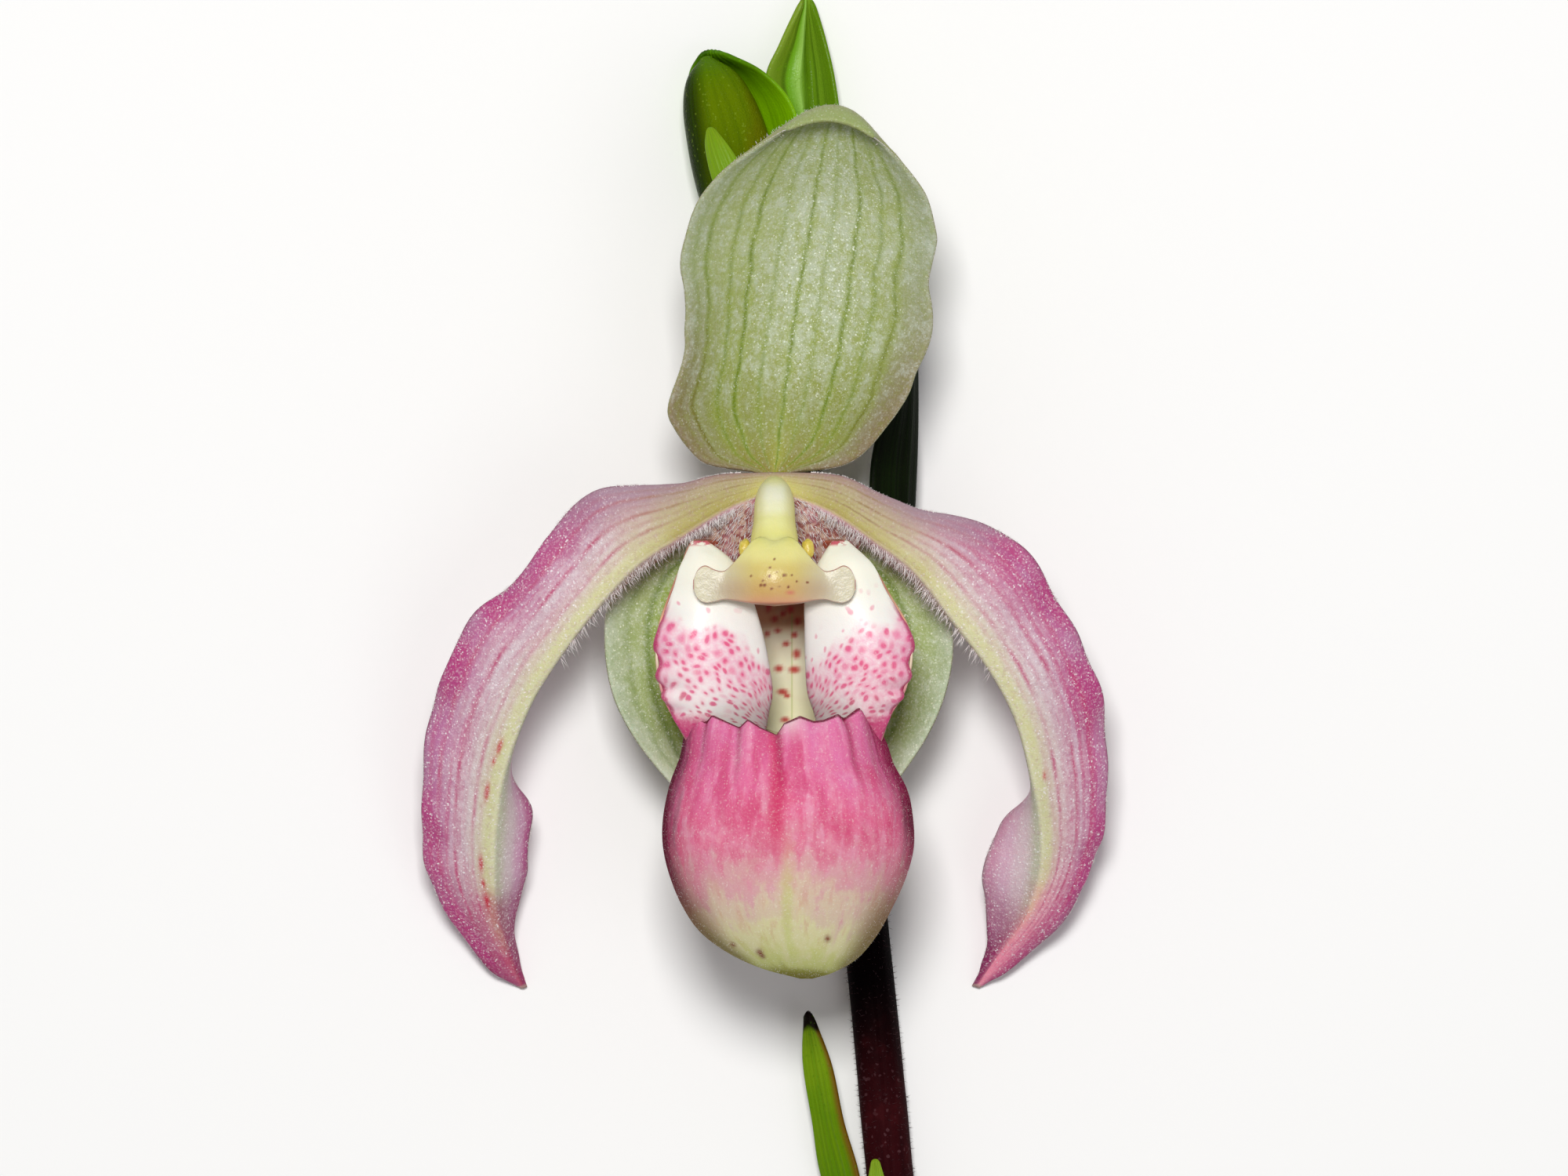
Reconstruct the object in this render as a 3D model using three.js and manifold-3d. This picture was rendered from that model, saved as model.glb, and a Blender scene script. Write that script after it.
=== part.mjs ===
// Phragmipedium (slipper orchid): one cut flower stem lying on a surface, bloom facing up.
// Millimetres, +Z up. The stem's length runs along +Y, its cut end towards -Y.
//
// All shapes are laid out from the bloom's base, where sepals, petals, lip and column meet:
// +X is the bloom's right as seen from above, +Y is towards its hood, +Z is up, out of the bloom.
// The finished group is moved at the end, so that its origin is the middle of its footprint.

import * as THREE from 'three';
import { mergeVertices } from 'three/addons/utils/BufferGeometryUtils.js';
import Module from 'manifold-3d';

const wasm = await Module();
wasm.setup();

// ---------------------------------------------------------------------------------------------
// Driving dimensions
// ---------------------------------------------------------------------------------------------

const FLOOR = -20; // the surface the stem lies on, below the bloom's base

const SEPAL_THICKNESS = 0.75;
const PETAL_THICKNESS = 0.7;
const BRACT_THICKNESS = 0.65;
const LIP_WALL = 0.8; // the side lobes
const TROUGH_WALL = 0.64;
const CUP_WALL = 1.1;

// How wide a blade's midrib fold is rounded, of each half's width.
const DORSAL_CREASE = 1.2;
const SYNSEPAL_CREASE = 1.5;
const PETAL_CREASE = 0.1;
const BRACT_CREASE = 0.5;
const HOOD_BRACT_CREASE = 1.0;

const STEM_SIDES = 12;
const STEM_STEPS = 26;

// Stem, from its cut end to its uppermost node: x, y, radius. It lies on the floor.
const STEM = [
  [14.8, -100.9, 2.35],
  [12.8, -81.4, 2.35],
  [11.0, -64.9, 2.25],
  [9.2, -46.1, 2.2],
  [7.0, -25.9, 2.15],
  [4.6, -9.4, 1.65],
  [2.4, 5.6, 1.5],
  [1.5, 16.1, 1.45],
  [0.9, 22.6, 1.0],
];
const NODE_SWELLING = 0.35; // how far a node's ring stands out
const NODE_LENGTH = 2.2; // length of a node's ring along the stem
const STEM_NODES_Y = [-77, -25.9, 16.4]; // where bracts spring from the stem

// Inferior ovary with its stalk, from the stem's middle node to the bloom: x, y, z, radius.
const OVARY = [
  [6.7, -24.4, -14.2, 1.05],
  [5.9, -20.0, -13.3, 1.25],
  [4.3, -14.0, -12.4, 1.6],
  [2.6, -8.0, -11.1, 1.8],
  [0.8, -2.6, -8.6, 1.85],
  [0.0, -0.1, -5.4, 1.95],
  [0.0, 0.2, -3.2, 2.15],
];
const OVARY_RIBS = 6;
const RIB_HEIGHT = 0.12;

// Hooded upper sepal: left margin, middle and right margin, from its base to its curled tip.
const DORSAL = [
  [[-1.2, 2.2, -2.2], [0.0, 2.1, -2.2], [1.2, 2.2, -2.2]],
  [[-6.8, 3.4, -0.7], [0.4, 4.9, -2.8], [7.0, 3.3, -0.7]],
  [[-9.7, 7.0, 1.0], [0.8, 8.7, -3.4], [10.7, 7.2, 1.0]],
  [[-9.1, 11.2, 1.4], [1.3, 12.5, -3.6], [12.9, 11.0, 1.6]],
  [[-8.2, 15.2, 1.2], [1.9, 16.6, -3.4], [14.7, 15.4, 1.4]],
  [[-8.3, 19.4, 1.8], [2.5, 20.6, -2.8], [14.7, 20.0, 1.6]],
  [[-8.7, 23.0, 2.6], [3.1, 24.2, -1.8], [15.0, 24.4, 2.6]],
  [[-7.4, 27.1, 3.6], [3.8, 28.2, -0.2], [14.5, 27.6, 3.6]],
  [[-4.8, 30.6, 4.8], [4.4, 32.0, 2.2], [12.7, 30.6, 4.8]],
  [[-1.6, 33.0, 6.0], [5.1, 35.2, 4.6], [10.8, 32.7, 6.0]],
  [[0.5, 34.3, 7.4], [5.6, 36.6, 6.7], [9.6, 33.7, 7.4]],
  [[1.3, 34.6, 8.6], [5.5, 35.4, 9.0], [9.3, 33.8, 8.6]],
];

// Synsepal, the two lower sepals grown together, a bowl behind the lip.
const SYNSEPAL = [
  [[-1.6, -2.1, -2.2], [0.1, -2.2, -2.3], [1.8, -2.1, -2.2]],
  [[-7.0, -2.9, -4.3], [0.3, -4.0, -4.4], [7.4, -3.5, -4.3]],
  [[-12.4, -5.9, -5.2], [0.4, -7.0, -6.7], [13.5, -7.3, -5.2]],
  [[-15.6, -9.8, -5.2], [0.4, -10.8, -8.0], [16.4, -11.2, -5.2]],
  [[-16.1, -13.9, -4.4], [0.4, -14.6, -8.8], [16.9, -14.6, -4.4]],
  [[-15.4, -18.4, -4.0], [0.4, -18.8, -9.4], [16.1, -18.8, -4.0]],
  [[-13.7, -22.1, -4.2], [0.5, -22.8, -9.8], [14.4, -22.7, -4.2]],
  [[-11.2, -25.6, -5.2], [0.6, -26.8, -10.1], [11.8, -26.6, -5.2]],
  [[-8.1, -29.0, -6.8], [0.7, -30.6, -10.3], [9.0, -30.2, -6.8]],
  [[-4.0, -33.0, -8.8], [0.8, -34.2, -10.2], [5.8, -33.8, -8.8]],
  [[0.5, -36.8, -9.8], [1.0, -37.0, -9.9], [1.5, -36.8, -9.8]],
];

// Petals: outer margin, midrib and inner margin. Each is folded back along its midrib.
const PETAL_LEFT = [
  [[-1.2, 2.3, -0.8], [-2.5, -0.2, -0.9], [-3.0, -0.9, -1.6]],
  [[-5.6, 2.1, 0.0], [-5.0, -1.1, 0.6], [-4.7, -2.0, -1.2]],
  [[-10.7, 1.3, 0.5], [-8.9, -3.4, 1.6], [-8.9, -4.4, -1.6]],
  [[-16.4, 0.6, 0.2], [-13.3, -6.2, 1.6], [-12.9, -7.1, -2.6]],
  [[-21.4, -3.9, -1.2], [-17.2, -10.4, 0.8], [-17.5, -10.8, -4.4]],
  [[-26.1, -9.3, -2.8], [-20.5, -14.7, -0.6], [-21.4, -14.9, -6.4]],
  [[-29.9, -13.7, -4.8], [-23.5, -19.5, -2.6], [-24.4, -19.8, -8.2]],
  [[-32.3, -20.2, -7.4], [-25.8, -25.4, -5.4], [-25.3, -25.6, -9.6]],
  [[-33.3, -28.1, -10.2], [-26.8, -31.1, -8.6], [-23.4, -30.4, -11.8]],
  [[-32.9, -34.3, -12.8], [-27.0, -36.0, -11.6], [-23.8, -35.2, -14.0]],
  [[-30.6, -39.5, -15.0], [-26.6, -39.9, -14.2], [-24.9, -39.6, -16.2]],
  [[-27.0, -44.6, -17.8], [-25.2, -44.2, -17.4], [-24.6, -44.0, -18.4]],
  [[-24.3, -46.8, -19.7], [-24.0, -46.8, -19.6], [-23.7, -46.7, -19.7]],
];
const PETAL_RIGHT = [
  [[1.2, 2.3, -0.8], [2.5, -0.2, -0.9], [3.0, -0.9, -1.6]],
  [[6.0, 2.0, 0.0], [5.5, -1.2, 0.6], [5.3, -2.2, -1.2]],
  [[11.4, -0.2, 0.5], [9.6, -3.9, 1.6], [9.4, -5.0, -1.6]],
  [[17.7, -2.1, 0.2], [13.6, -6.9, 1.6], [13.2, -8.0, -2.6]],
  [[23.2, -4.9, -1.2], [17.3, -11.6, 0.8], [17.6, -12.1, -4.4]],
  [[26.8, -9.9, -2.8], [20.6, -16.0, -0.6], [21.4, -16.2, -6.4]],
  [[29.8, -15.5, -4.8], [23.2, -20.9, -2.6], [24.0, -21.2, -8.2]],
  [[31.2, -22.1, -7.4], [24.8, -26.7, -5.4], [24.8, -27.2, -9.8]],
  [[31.2, -30.2, -10.2], [25.6, -31.4, -8.6], [21.8, -31.4, -11.8]],
  [[29.5, -35.7, -12.8], [25.5, -35.8, -11.6], [20.2, -36.6, -14.0]],
  [[26.5, -40.4, -15.0], [23.9, -39.9, -14.2], [20.7, -41.0, -16.2]],
  [[21.9, -44.6, -17.8], [21.1, -44.0, -17.4], [19.5, -44.8, -18.4]],
  [[19.6, -46.8, -19.7], [19.3, -46.7, -19.6], [18.9, -46.6, -19.7]],
];
const PETAL_BULGE = [0.5, 0.2]; // how far the left and right half bulge up
const RIPPLE_HEIGHT = 0.35; // waves of the petals' margins
const RIPPLE_COUNT = 7;

// Lip, upper trough. Each row: height y, left and right fold (x), the folds' z, the back's z.
const TROUGH = [
  [-2.6, -2.0, 2.0, -0.7, -1.15],
  [-3.4, -5.6, 5.0, 1.8, -1.6],
  [-4.4, -7.8, 6.9, 5.8, -2.0],
  [-6.4, -8.7, 9.1, 7.6, -2.4],
  [-9.4, -9.9, 10.9, 8.4, -2.9],
  [-12.4, -10.9, 12.6, 8.8, -3.5],
  [-15.4, -11.1, 12.9, 8.9, -4.2],
  [-18.4, -10.6, 12.2, 8.6, -4.9],
  [-20.6, -9.6, 10.9, 8.0, -5.3],
  [-23.4, -8.0, 9.9, 7.0, -5.45],
];
const TROUGH_SHAPE = [0.75, 0.9]; // below 1, the trough's section is fuller than an ellipse

// Lip, side lobes folded over the trough: x and z of the inner edge, and the bulge's height,
// at each trough row from the third on.
const LOBE_LEFT = [
  [-6.6, 6.2, 0.2],
  [-3.9, 7.4, 1.1],
  [-2.2, 7.8, 1.6],
  [-1.2, 7.8, 1.9],
  [-0.5, 7.4, 2.0],
  [-0.1, 6.6, 1.9],
  [-0.5, 5.4, 1.5],
  [-1.0, 3.0, 0.8],
];
const LOBE_RIGHT = [
  [5.7, 6.2, 0.2],
  [4.3, 7.4, 1.1],
  [3.0, 7.8, 1.6],
  [2.9, 7.8, 1.9],
  [2.9, 7.4, 2.0],
  [3.1, 6.6, 1.9],
  [3.8, 5.4, 1.5],
  [4.3, 3.0, 0.8],
];
const LOBE_SHAPE = [[0.35, 1.0], [0.72, 0.9]]; // share of the width, share of the bulge
const LOBE_SINK = 0.1; // how far a lobe's root runs into the trough's fold
const LOBE_CURL = [0.7, 2.0]; // how far the inner edges turn outwards and back

// Lip, pouch. Each row: left x and y, right x and y, front z, back z, from its rim to its toe.
const CUP = [
  [-8.2, -21.6, 9.8, -22.2, 12.4, -5.9],
  [-8.9, -24.4, 11.2, -25.1, 14.2, -6.1],
  [-9.9, -27.1, 12.6, -27.8, 15.6, -6.3],
  [-10.5, -30.2, 13.1, -30.6, 16.4, -6.2],
  [-10.5, -33.0, 13.1, -33.4, 16.4, -5.9],
  [-9.9, -35.8, 12.3, -36.3, 15.8, -5.2],
  [-8.8, -38.5, 11.1, -38.9, 14.6, -4.1],
  [-7.1, -41.0, 9.6, -41.5, 12.7, -2.6],
  [-4.5, -43.0, 7.8, -43.6, 10.5, -0.8],
  [-1.3, -44.5, 5.6, -44.9, 7.8, 1.6],
  [2.4, -45.5, 3.6, -45.5, 5.2, 4.2],
];
const CUP_SQUARENESS = 0.86; // below 1, the pouch's sections are fuller than an ellipse
const CUP_BACK_SIDES = 13;
const CUP_STEPS = 11;
const TOE_INSET = 0.94; // where along the pouch its inside ends
const RIM_WALL = 0.88;
const RIM_BEVEL = 0.05; // how much lower the rim's inner edge is
const BACK_RIM_LIFT = 1.2; // how far the back wall runs up into the trough

// The pouch's toothed front rim: x and y of each tooth and notch.
const RIM = [
  [-8.2, -21.6],
  [-7.7, -20.6],
  [-6.4, -21.4],
  [-5.9, -20.6],
  [-4.6, -21.2],
  [-3.3, -21.8],
  [-2.5, -21.0],
  [-1.3, -21.8],
  [0.2, -22.5],
  [0.9, -21.4],
  [2.4, -20.7],
  [3.7, -21.2],
  [4.6, -21.1],
  [6.0, -20.5],
  [6.5, -21.0],
  [8.1, -19.8],
  [8.7, -20.6],
  [9.8, -22.2],
];

// Column: x, y, z, radius of its neck, then its shield (staminode).
const COLUMN = [
  [0.0, 0.4, -2.15, 1.45],
  [0.0, -0.5, -0.2, 1.6],
  [0.0, -2.2, 4.6, 1.8],
  [0.0, -4.2, 9.4, 1.85],
  [0.0, -6.0, 11.2, 1.9],
];
// Shield: distance from the middle, upper edge and lower edge. The last row is the wing's tip.
const SHIELD = [
  [0.0, -4.2, -10.2],
  [1.9, -4.5, -10.1],
  [3.0, -5.5, -10.0],
  [3.8, -6.3, -9.8],
  [4.7, -7.0, -9.7],
  [5.6, -6.9, -9.9],
  [6.5, -6.5, -10.0],
  [7.2, -6.9, -9.6],
  [7.65, -7.9, -8.7],
];
const SHIELD_Z = 11.2;
const SHIELD_WING = 0.65; // thickness of the wings
const SHIELD_DOME = 2.6; // extra thickness in the middle
const SHIELD_DOME_REACH = 4.4; // how far from the middle the dome reaches
const SHIELD_LEAN = 1.1; // how far the middle leans, its upper edge back
const SHIELD_LEAN_PIVOT = 0.6;
const SHIELD_DOME_SPAN = [0.12, 0.88]; // the stretch of a half wave that the dome follows
const ANTHER_RADIUS = 0.62;
const ANTHER_LENGTH = 1.3;
const ANTHERS = { anther_left: [-2.9, -4.9, 8.0], anther_right: [3.1, -4.9, 8.0] };

// Bracts, the small leaves of the stem: left margin, keel and right margin, base to tip.
const FLORAL_BRACT_1 = [
  [[9.6, -24.5, -15.2], [10.3, -24.5, -17.2], [10.0, -24.5, -18.9]],
  [[9.5, -15.0, -13.5], [11.6, -15.0, -16.0], [10.2, -15.0, -19.0]],
  [[9.2, -5.0, -12.5], [12.8, -5.0, -15.5], [10.0, -5.0, -19.0]],
  [[9.2, 3.0, -12.0], [13.3, 3.0, -15.2], [9.8, 3.0, -18.8]],
  [[10.6, 9.0, -12.2], [13.4, 9.0, -15.2], [10.8, 9.0, -18.2]],
  [[12.0, 14.5, -13.2], [13.3, 14.6, -15.0], [12.0, 14.5, -16.8]],
  [[12.8, 19.0, -14.4], [13.0, 19.2, -14.7], [12.8, 19.0, -15.0]],
];
const FLORAL_BRACT_2 = [
  [[-2.1, 19.4, -18.4], [-1.4, 19.3, -19.2], [-0.7, 19.5, -17.0]],
  [[-5.2, 25.0, -18.1], [-2.0, 25.0, -19.3], [1.8, 25.0, -14.8]],
  [[-7.3, 31.5, -17.7], [-3.4, 31.5, -19.5], [2.7, 31.5, -14.1]],
  [[-8.0, 37.0, -17.4], [-4.4, 37.0, -19.5], [1.4, 36.9, -13.8]],
  [[-7.7, 40.6, -16.9], [-5.2, 40.6, -19.0], [-1.2, 40.4, -13.9]],
  [[-6.9, 42.3, -16.2], [-6.2, 42.7, -16.5], [-5.4, 42.4, -15.7]],
];
const FLORAL_BRACT_3 = [
  [[1.2, 25.2, -18.2], [2.2, 24.8, -19.3], [3.4, 25.2, -17.8]],
  [[1.0, 30.0, -18.0], [3.2, 30.0, -19.6], [5.8, 30.2, -17.2]],
  [[0.6, 35.0, -17.8], [3.3, 35.0, -19.6], [6.2, 35.4, -16.8]],
  [[-0.8, 39.8, -17.2], [3.0, 39.6, -19.4], [5.7, 39.9, -16.8]],
  [[0.5, 43.3, -17.0], [2.9, 43.6, -19.0], [4.8, 43.8, -17.0]],
  [[2.5, 47.4, -17.1], [3.1, 47.8, -17.4], [3.7, 47.3, -17.1]],
];
const SMALL_BRACT = [
  [[-0.9, 20.0, -13.8], [0.1, 20.2, -13.4], [1.1, 20.4, -13.8]],
  [[-3.9, 25.5, -11.0], [-2.6, 25.8, -10.4], [-1.2, 26.0, -11.0]],
  [[-5.8, 30.0, -10.2], [-4.3, 30.3, -9.4], [-2.8, 30.6, -9.9]],
  [[-6.5, 33.2, -10.5], [-5.4, 33.3, -9.7], [-4.2, 33.1, -9.9]],
  [[-6.35, 35.0, -10.6], [-6.15, 35.2, -10.5], [-5.95, 35.0, -10.5]],
];
const STEM_BRACT_LOWER = [
  [[9.4, -77.0, -19.0], [9.1, -77.0, -17.2], [9.9, -77.0, -15.4]],
  [[7.0, -71.0, -18.6], [7.5, -71.0, -16.9], [8.8, -71.0, -15.5]],
  [[4.5, -64.9, -17.8], [6.0, -64.9, -16.9], [7.9, -64.9, -15.6]],
  [[3.6, -59.6, -17.0], [4.8, -59.6, -16.5], [6.2, -59.6, -15.6]],
  [[2.9, -54.0, -16.4], [3.8, -54.0, -16.1], [4.9, -54.0, -15.5]],
  [[3.0, -49.2, -15.6], [3.15, -49.0, -15.6], [3.35, -49.2, -15.5]],
];
const STEM_BRACT_SMALL = [
  [[11.2, -76.4, -14.7], [12.6, -76.4, -14.3], [14.0, -76.4, -14.7]],
  [[10.0, -71.0, -14.7], [11.2, -71.0, -14.3], [12.4, -71.0, -14.7]],
  [[9.0, -66.0, -14.7], [9.9, -66.0, -14.4], [10.8, -66.0, -14.7]],
  [[9.3, -63.3, -14.7], [9.6, -63.1, -14.6], [9.9, -63.3, -14.7]],
];

// Buds with their stalks: x, y, z, radius, from the stalk's foot to the bud's tip.
const BUD_2 = [
  [0.5, 18.4, -15.8, 0.85],
  [-1.2, 21.4, -15.2, 0.9],
  [-2.5, 24.0, -14.7, 1.5],
  [-3.0, 26.2, -14.4, 2.8],
  [-3.4, 28.6, -14.3, 3.65],
  [-3.9, 31.5, -14.3, 3.95],
  [-4.6, 34.6, -14.5, 3.85],
  [-5.4, 37.8, -14.8, 3.25],
  [-6.1, 40.3, -15.1, 2.2],
  [-6.6, 42.0, -15.3, 0.35],
];
const BUD_3 = [
  [2.2, 24.8, -17.2, 0.6],
  [2.8, 26.6, -16.9, 0.8],
  [3.4, 28.6, -16.5, 1.35],
  [3.6, 30.8, -16.4, 1.45],
  [3.7, 33.4, -16.4, 1.35],
  [3.7, 35.6, -16.7, 0.9],
  [3.6, 36.8, -16.8, 0.25],
];

// ---------------------------------------------------------------------------------------------
// Curves and solids
// ---------------------------------------------------------------------------------------------

/** A smooth curve through evenly counted stations, each a list of numbers; t runs 0 to 1. */
function through(stations, t) {
  const last = stations.length - 1;
  const i = Math.min(Math.floor(t * last), last - 1);
  const f = t * last - i;
  return stations[i].map((b, k) => {
    const c = stations[i + 1][k];
    const a = i > 0 ? stations[i - 1][k] : 2 * b - c;
    const d = i + 2 <= last ? stations[i + 2][k] : 2 * c - b;
    return b + 0.5 * f * (c - a + f * (2 * a - 5 * b + 4 * c - d + f * (3 * (b - c) + d - a)));
  });
}

/** Straight-line reading of a table of [position, value] rows. */
function lookUp(table, x) {
  let i = 0;
  while (i < table.length - 2 && x > table[i + 1][0]) i += 1;
  const [x0, y0] = table[i];
  const [x1, y1] = table[i + 1];
  return y0 + (y1 - y0) * THREE.MathUtils.clamp((x - x0) / (x1 - x0), 0, 1);
}

/** A closed geometry from points and triangles, turned so that its faces point out. */
function solid(points, triangles) {
  let volume = 0;
  for (const [a, b, c] of triangles) {
    volume += points[a].dot(new THREE.Vector3().crossVectors(points[b], points[c]));
  }
  const order = volume > 0 ? triangles : triangles.map(([a, b, c]) => [a, c, b]);
  const geometry = new THREE.BufferGeometry();
  geometry.setAttribute(
    'position',
    new THREE.Float32BufferAttribute(points.flatMap((p) => [p.x, p.y, p.z]), 3),
  );
  geometry.setIndex(order.flat());
  return geometry;
}

/** The surface's unit normal, from its slopes each way. */
function normalOf(surface, u, v) {
  const step = 1e-3;
  const alongU = surface(Math.min(u + step, 1), v).sub(surface(Math.max(u - step, 0), v));
  const alongV = surface(u, Math.min(v + step, 1)).sub(surface(u, Math.max(v - step, 0)));
  return alongU.cross(alongV).normalize();
}

/** A sheet of the given thickness about a surface (u, v from 0 to 1), closed at its edges. */
function sheet(surface, across, along, thickness) {
  const points = [];
  const triangles = [];
  const row = across + 1;
  const face = row * (along + 1);
  for (const side of [0.5, -0.5]) {
    for (let j = 0; j <= along; j += 1) {
      for (let i = 0; i <= across; i += 1) {
        const u = i / across;
        const v = j / along;
        const offset = normalOf(surface, u, v).multiplyScalar(side * thickness(u, v));
        points.push(surface(u, v).add(offset));
      }
    }
  }
  const quad = (a, b, c, d) => triangles.push([a, b, c], [a, c, d]);
  for (let j = 0; j < along; j += 1) {
    for (let i = 0; i < across; i += 1) {
      const a = j * row + i;
      quad(a, a + 1, a + row + 1, a + row);
      triangles.push([face + a, face + a + row + 1, face + a + 1]);
      triangles.push([face + a, face + a + row, face + a + row + 1]);
    }
  }
  const edge = (a, b) => quad(b, a, a + face, b + face);
  for (let i = 0; i < across; i += 1) {
    edge(i, i + 1);
    edge(along * row + i + 1, along * row + i);
  }
  for (let j = 0; j < along; j += 1) {
    edge((j + 1) * row, j * row);
    edge(j * row + across, (j + 1) * row + across);
  }
  return solid(points, triangles);
}

/** A solid through rings of points, with a flat cap on its first and last ring. */
function loft(rings) {
  const sides = rings[0].length;
  const points = rings.flat();
  const triangles = [];
  for (let j = 0; j < rings.length - 1; j += 1) {
    for (let i = 0; i < sides; i += 1) {
      const a = j * sides + i;
      const b = j * sides + ((i + 1) % sides);
      triangles.push([a, b, b + sides], [a, b + sides, a + sides]);
    }
  }
  const middle = (ring) => ring.reduce((sum, p) => sum.add(p), new THREE.Vector3())
    .divideScalar(sides);
  const top = points.length;
  points.push(middle(rings[0]), middle(rings.at(-1)));
  const start = (rings.length - 1) * sides;
  for (let i = 0; i < sides; i += 1) {
    const next = (i + 1) % sides;
    triangles.push([top, next, i], [top + 1, start + i, start + next]);
  }
  return solid(points, triangles);
}

/** A rod of round section along stations of x, y, z and radius. */
function rod(stations, sides, steps, relief = () => 0) {
  const rings = [];
  for (let j = 0; j <= steps; j += 1) {
    const t = j / steps;
    const [x, y, z, radius] = through(stations, t);
    const ahead = through(stations, Math.min(t + 1e-3, 1));
    const behind = through(stations, Math.max(t - 1e-3, 0));
    const direction = new THREE.Vector3(...[0, 1, 2].map((k) => ahead[k] - behind[k])).normalize();
    const across = new THREE.Vector3(0, 0, 1).cross(direction);
    if (across.lengthSq() < 0.01) across.set(-1, 0, 0);
    across.normalize();
    const up = new THREE.Vector3().crossVectors(direction, across);
    rings.push(Array.from({ length: sides }, (_, i) => {
      const angle = ((i + 0.5) / sides) * Math.PI * 2;
      const r = radius + relief(angle, t);
      return new THREE.Vector3(x, y, z)
        .addScaledVector(across, r * Math.sin(angle))
        .addScaledVector(up, r * Math.cos(angle));
    }));
  }
  return loft(rings);
}

/** One solid out of several that run into each other. */
function join(...geometries) {
  const bodies = geometries.map((geometry) => {
    const merged = mergeVertices(geometry, 1e-4);
    return new wasm.Manifold(new wasm.Mesh({
      numProp: 3,
      vertProperties: new Float32Array(merged.attributes.position.array),
      triVerts: new Uint32Array(merged.index.array),
    }));
  });
  const mesh = bodies.reduce((whole, body) => whole.add(body)).getMesh();
  const geometry = new THREE.BufferGeometry();
  geometry.setAttribute('position', new THREE.BufferAttribute(mesh.vertProperties, 3));
  geometry.setIndex(new THREE.BufferAttribute(mesh.triVerts, 1));
  return geometry;
}

/**
 * A blade between its left margin, midrib and right margin, given as rows from base to tip.
 * crease is how wide the midrib's fold is rounded, of each half's width; bulge lifts each half.
 */
function blade(rows, { crease, bulge = [0, 0], ripple = 0 }) {
  const rails = rows.map((row) => row.flat());
  return (u, v) => {
    const rail = through(rails, v);
    const side = 2 * u - 1;
    const rounded = (Math.hypot(side, crease) - crease) / (Math.hypot(1, crease) - crease);
    const height = side < 0 ? bulge[0] : bulge[1];
    const half = Math.abs(side);
    const point = [0, 1, 2].map((k) => {
      const [left, middle, right] = [rail[k], rail[k + 3], rail[k + 6]];
      return middle + ((right - left) / 2) * side + ((left + right) / 2 - middle) * rounded;
    });
    const lift = height * 4 * half * (1 - half) * Math.sin(Math.PI * v);
    const wave = ripple * half ** 3 * Math.sin(2 * Math.PI * RIPPLE_COUNT * v + 2 * side)
      * Math.sin(Math.PI * v);
    return new THREE.Vector3(point[0], point[1], point[2] + lift + wave);
  };
}

// ---------------------------------------------------------------------------------------------
// Pieces
// ---------------------------------------------------------------------------------------------

/** The stem's stations with the height that keeps its lowest flat on the floor. */
function stemStations() {
  const flat = Math.cos(Math.PI / STEM_SIDES);
  return STEM.map(([x, y, radius]) => [x, y, FLOOR + radius * flat, radius]);
}

function stem() {
  const stations = stemStations();
  const swelling = (angle, t) => {
    const y = through(stations, t)[1];
    const nearest = Math.min(...STEM_NODES_Y.map((node) => Math.abs(y - node)));
    const ring = NODE_SWELLING * Math.exp(-((nearest / NODE_LENGTH) ** 2));
    return Math.cos(angle) > 0 ? ring : 0;
  };
  return rod(stations, STEM_SIDES, STEM_STEPS, swelling);
}

function ovary() {
  const ribs = (angle, t) => RIB_HEIGHT * Math.cos(OVARY_RIBS * angle) * Math.sin(Math.PI * t);
  return rod(OVARY, 2 * OVARY_RIBS, 14, ribs);
}

/** A point of the trough: across runs from the left fold, round the back, to the right fold. */
function troughPoint(across, along) {
  const [y, left, right, foldZ, backZ] = through(TROUGH, along);
  const angle = across * Math.PI;
  const middle = (left + right) / 2;
  const reach = Math.sign(Math.cos(angle)) * Math.abs(Math.cos(angle)) ** TROUGH_SHAPE[0];
  const depth = Math.sin(angle) ** TROUGH_SHAPE[1];
  return new THREE.Vector3(
    middle - ((right - left) / 2) * reach,
    y,
    foldZ + (backZ - foldZ) * depth,
  );
}

/** A side lobe: u from the fold, over the bulge, to the inner edge's curl; v down the lip. */
function lobe(edges, side) {
  const rows = TROUGH.slice(2).map(([y, left, right, foldZ], i) => {
    const [edgeX, edgeZ, bulge] = edges[i];
    const foldX = (side < 0 ? left : right) - side * LOBE_SINK;
    const at = (f, lift = 0) => [foldX + (edgeX - foldX) * f, y, foldZ + (edgeZ - foldZ) * f + lift];
    const arch = LOBE_SHAPE.map(([f, share]) => at(f, bulge * share));
    const curl = [edgeX + side * LOBE_CURL[0], y, edgeZ - LOBE_CURL[1]];
    return [at(0), ...arch, at(1), curl].flat();
  });
  return (u, v) => {
    const flat = through(rows, v);
    const stations = [0, 3, 6, 9, 12].map((k) => flat.slice(k, k + 3));
    return new THREE.Vector3(...through(stations, u));
  };
}

/** The angles round the pouch: one at each tooth and notch in front, then even steps behind. */
function cupAngles() {
  const [left, , right] = CUP[0];
  const middle = (left + right) / 2;
  const half = (right - left) / 2;
  const front = RIM.map(([x]) => Math.acos(THREE.MathUtils.clamp((middle - x) / half, -1, 1)));
  const back = Array.from(
    { length: CUP_BACK_SIDES - 1 },
    (_, i) => Math.PI * (1 + (i + 1) / CUP_BACK_SIDES),
  );
  return [...front, ...back];
}

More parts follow.
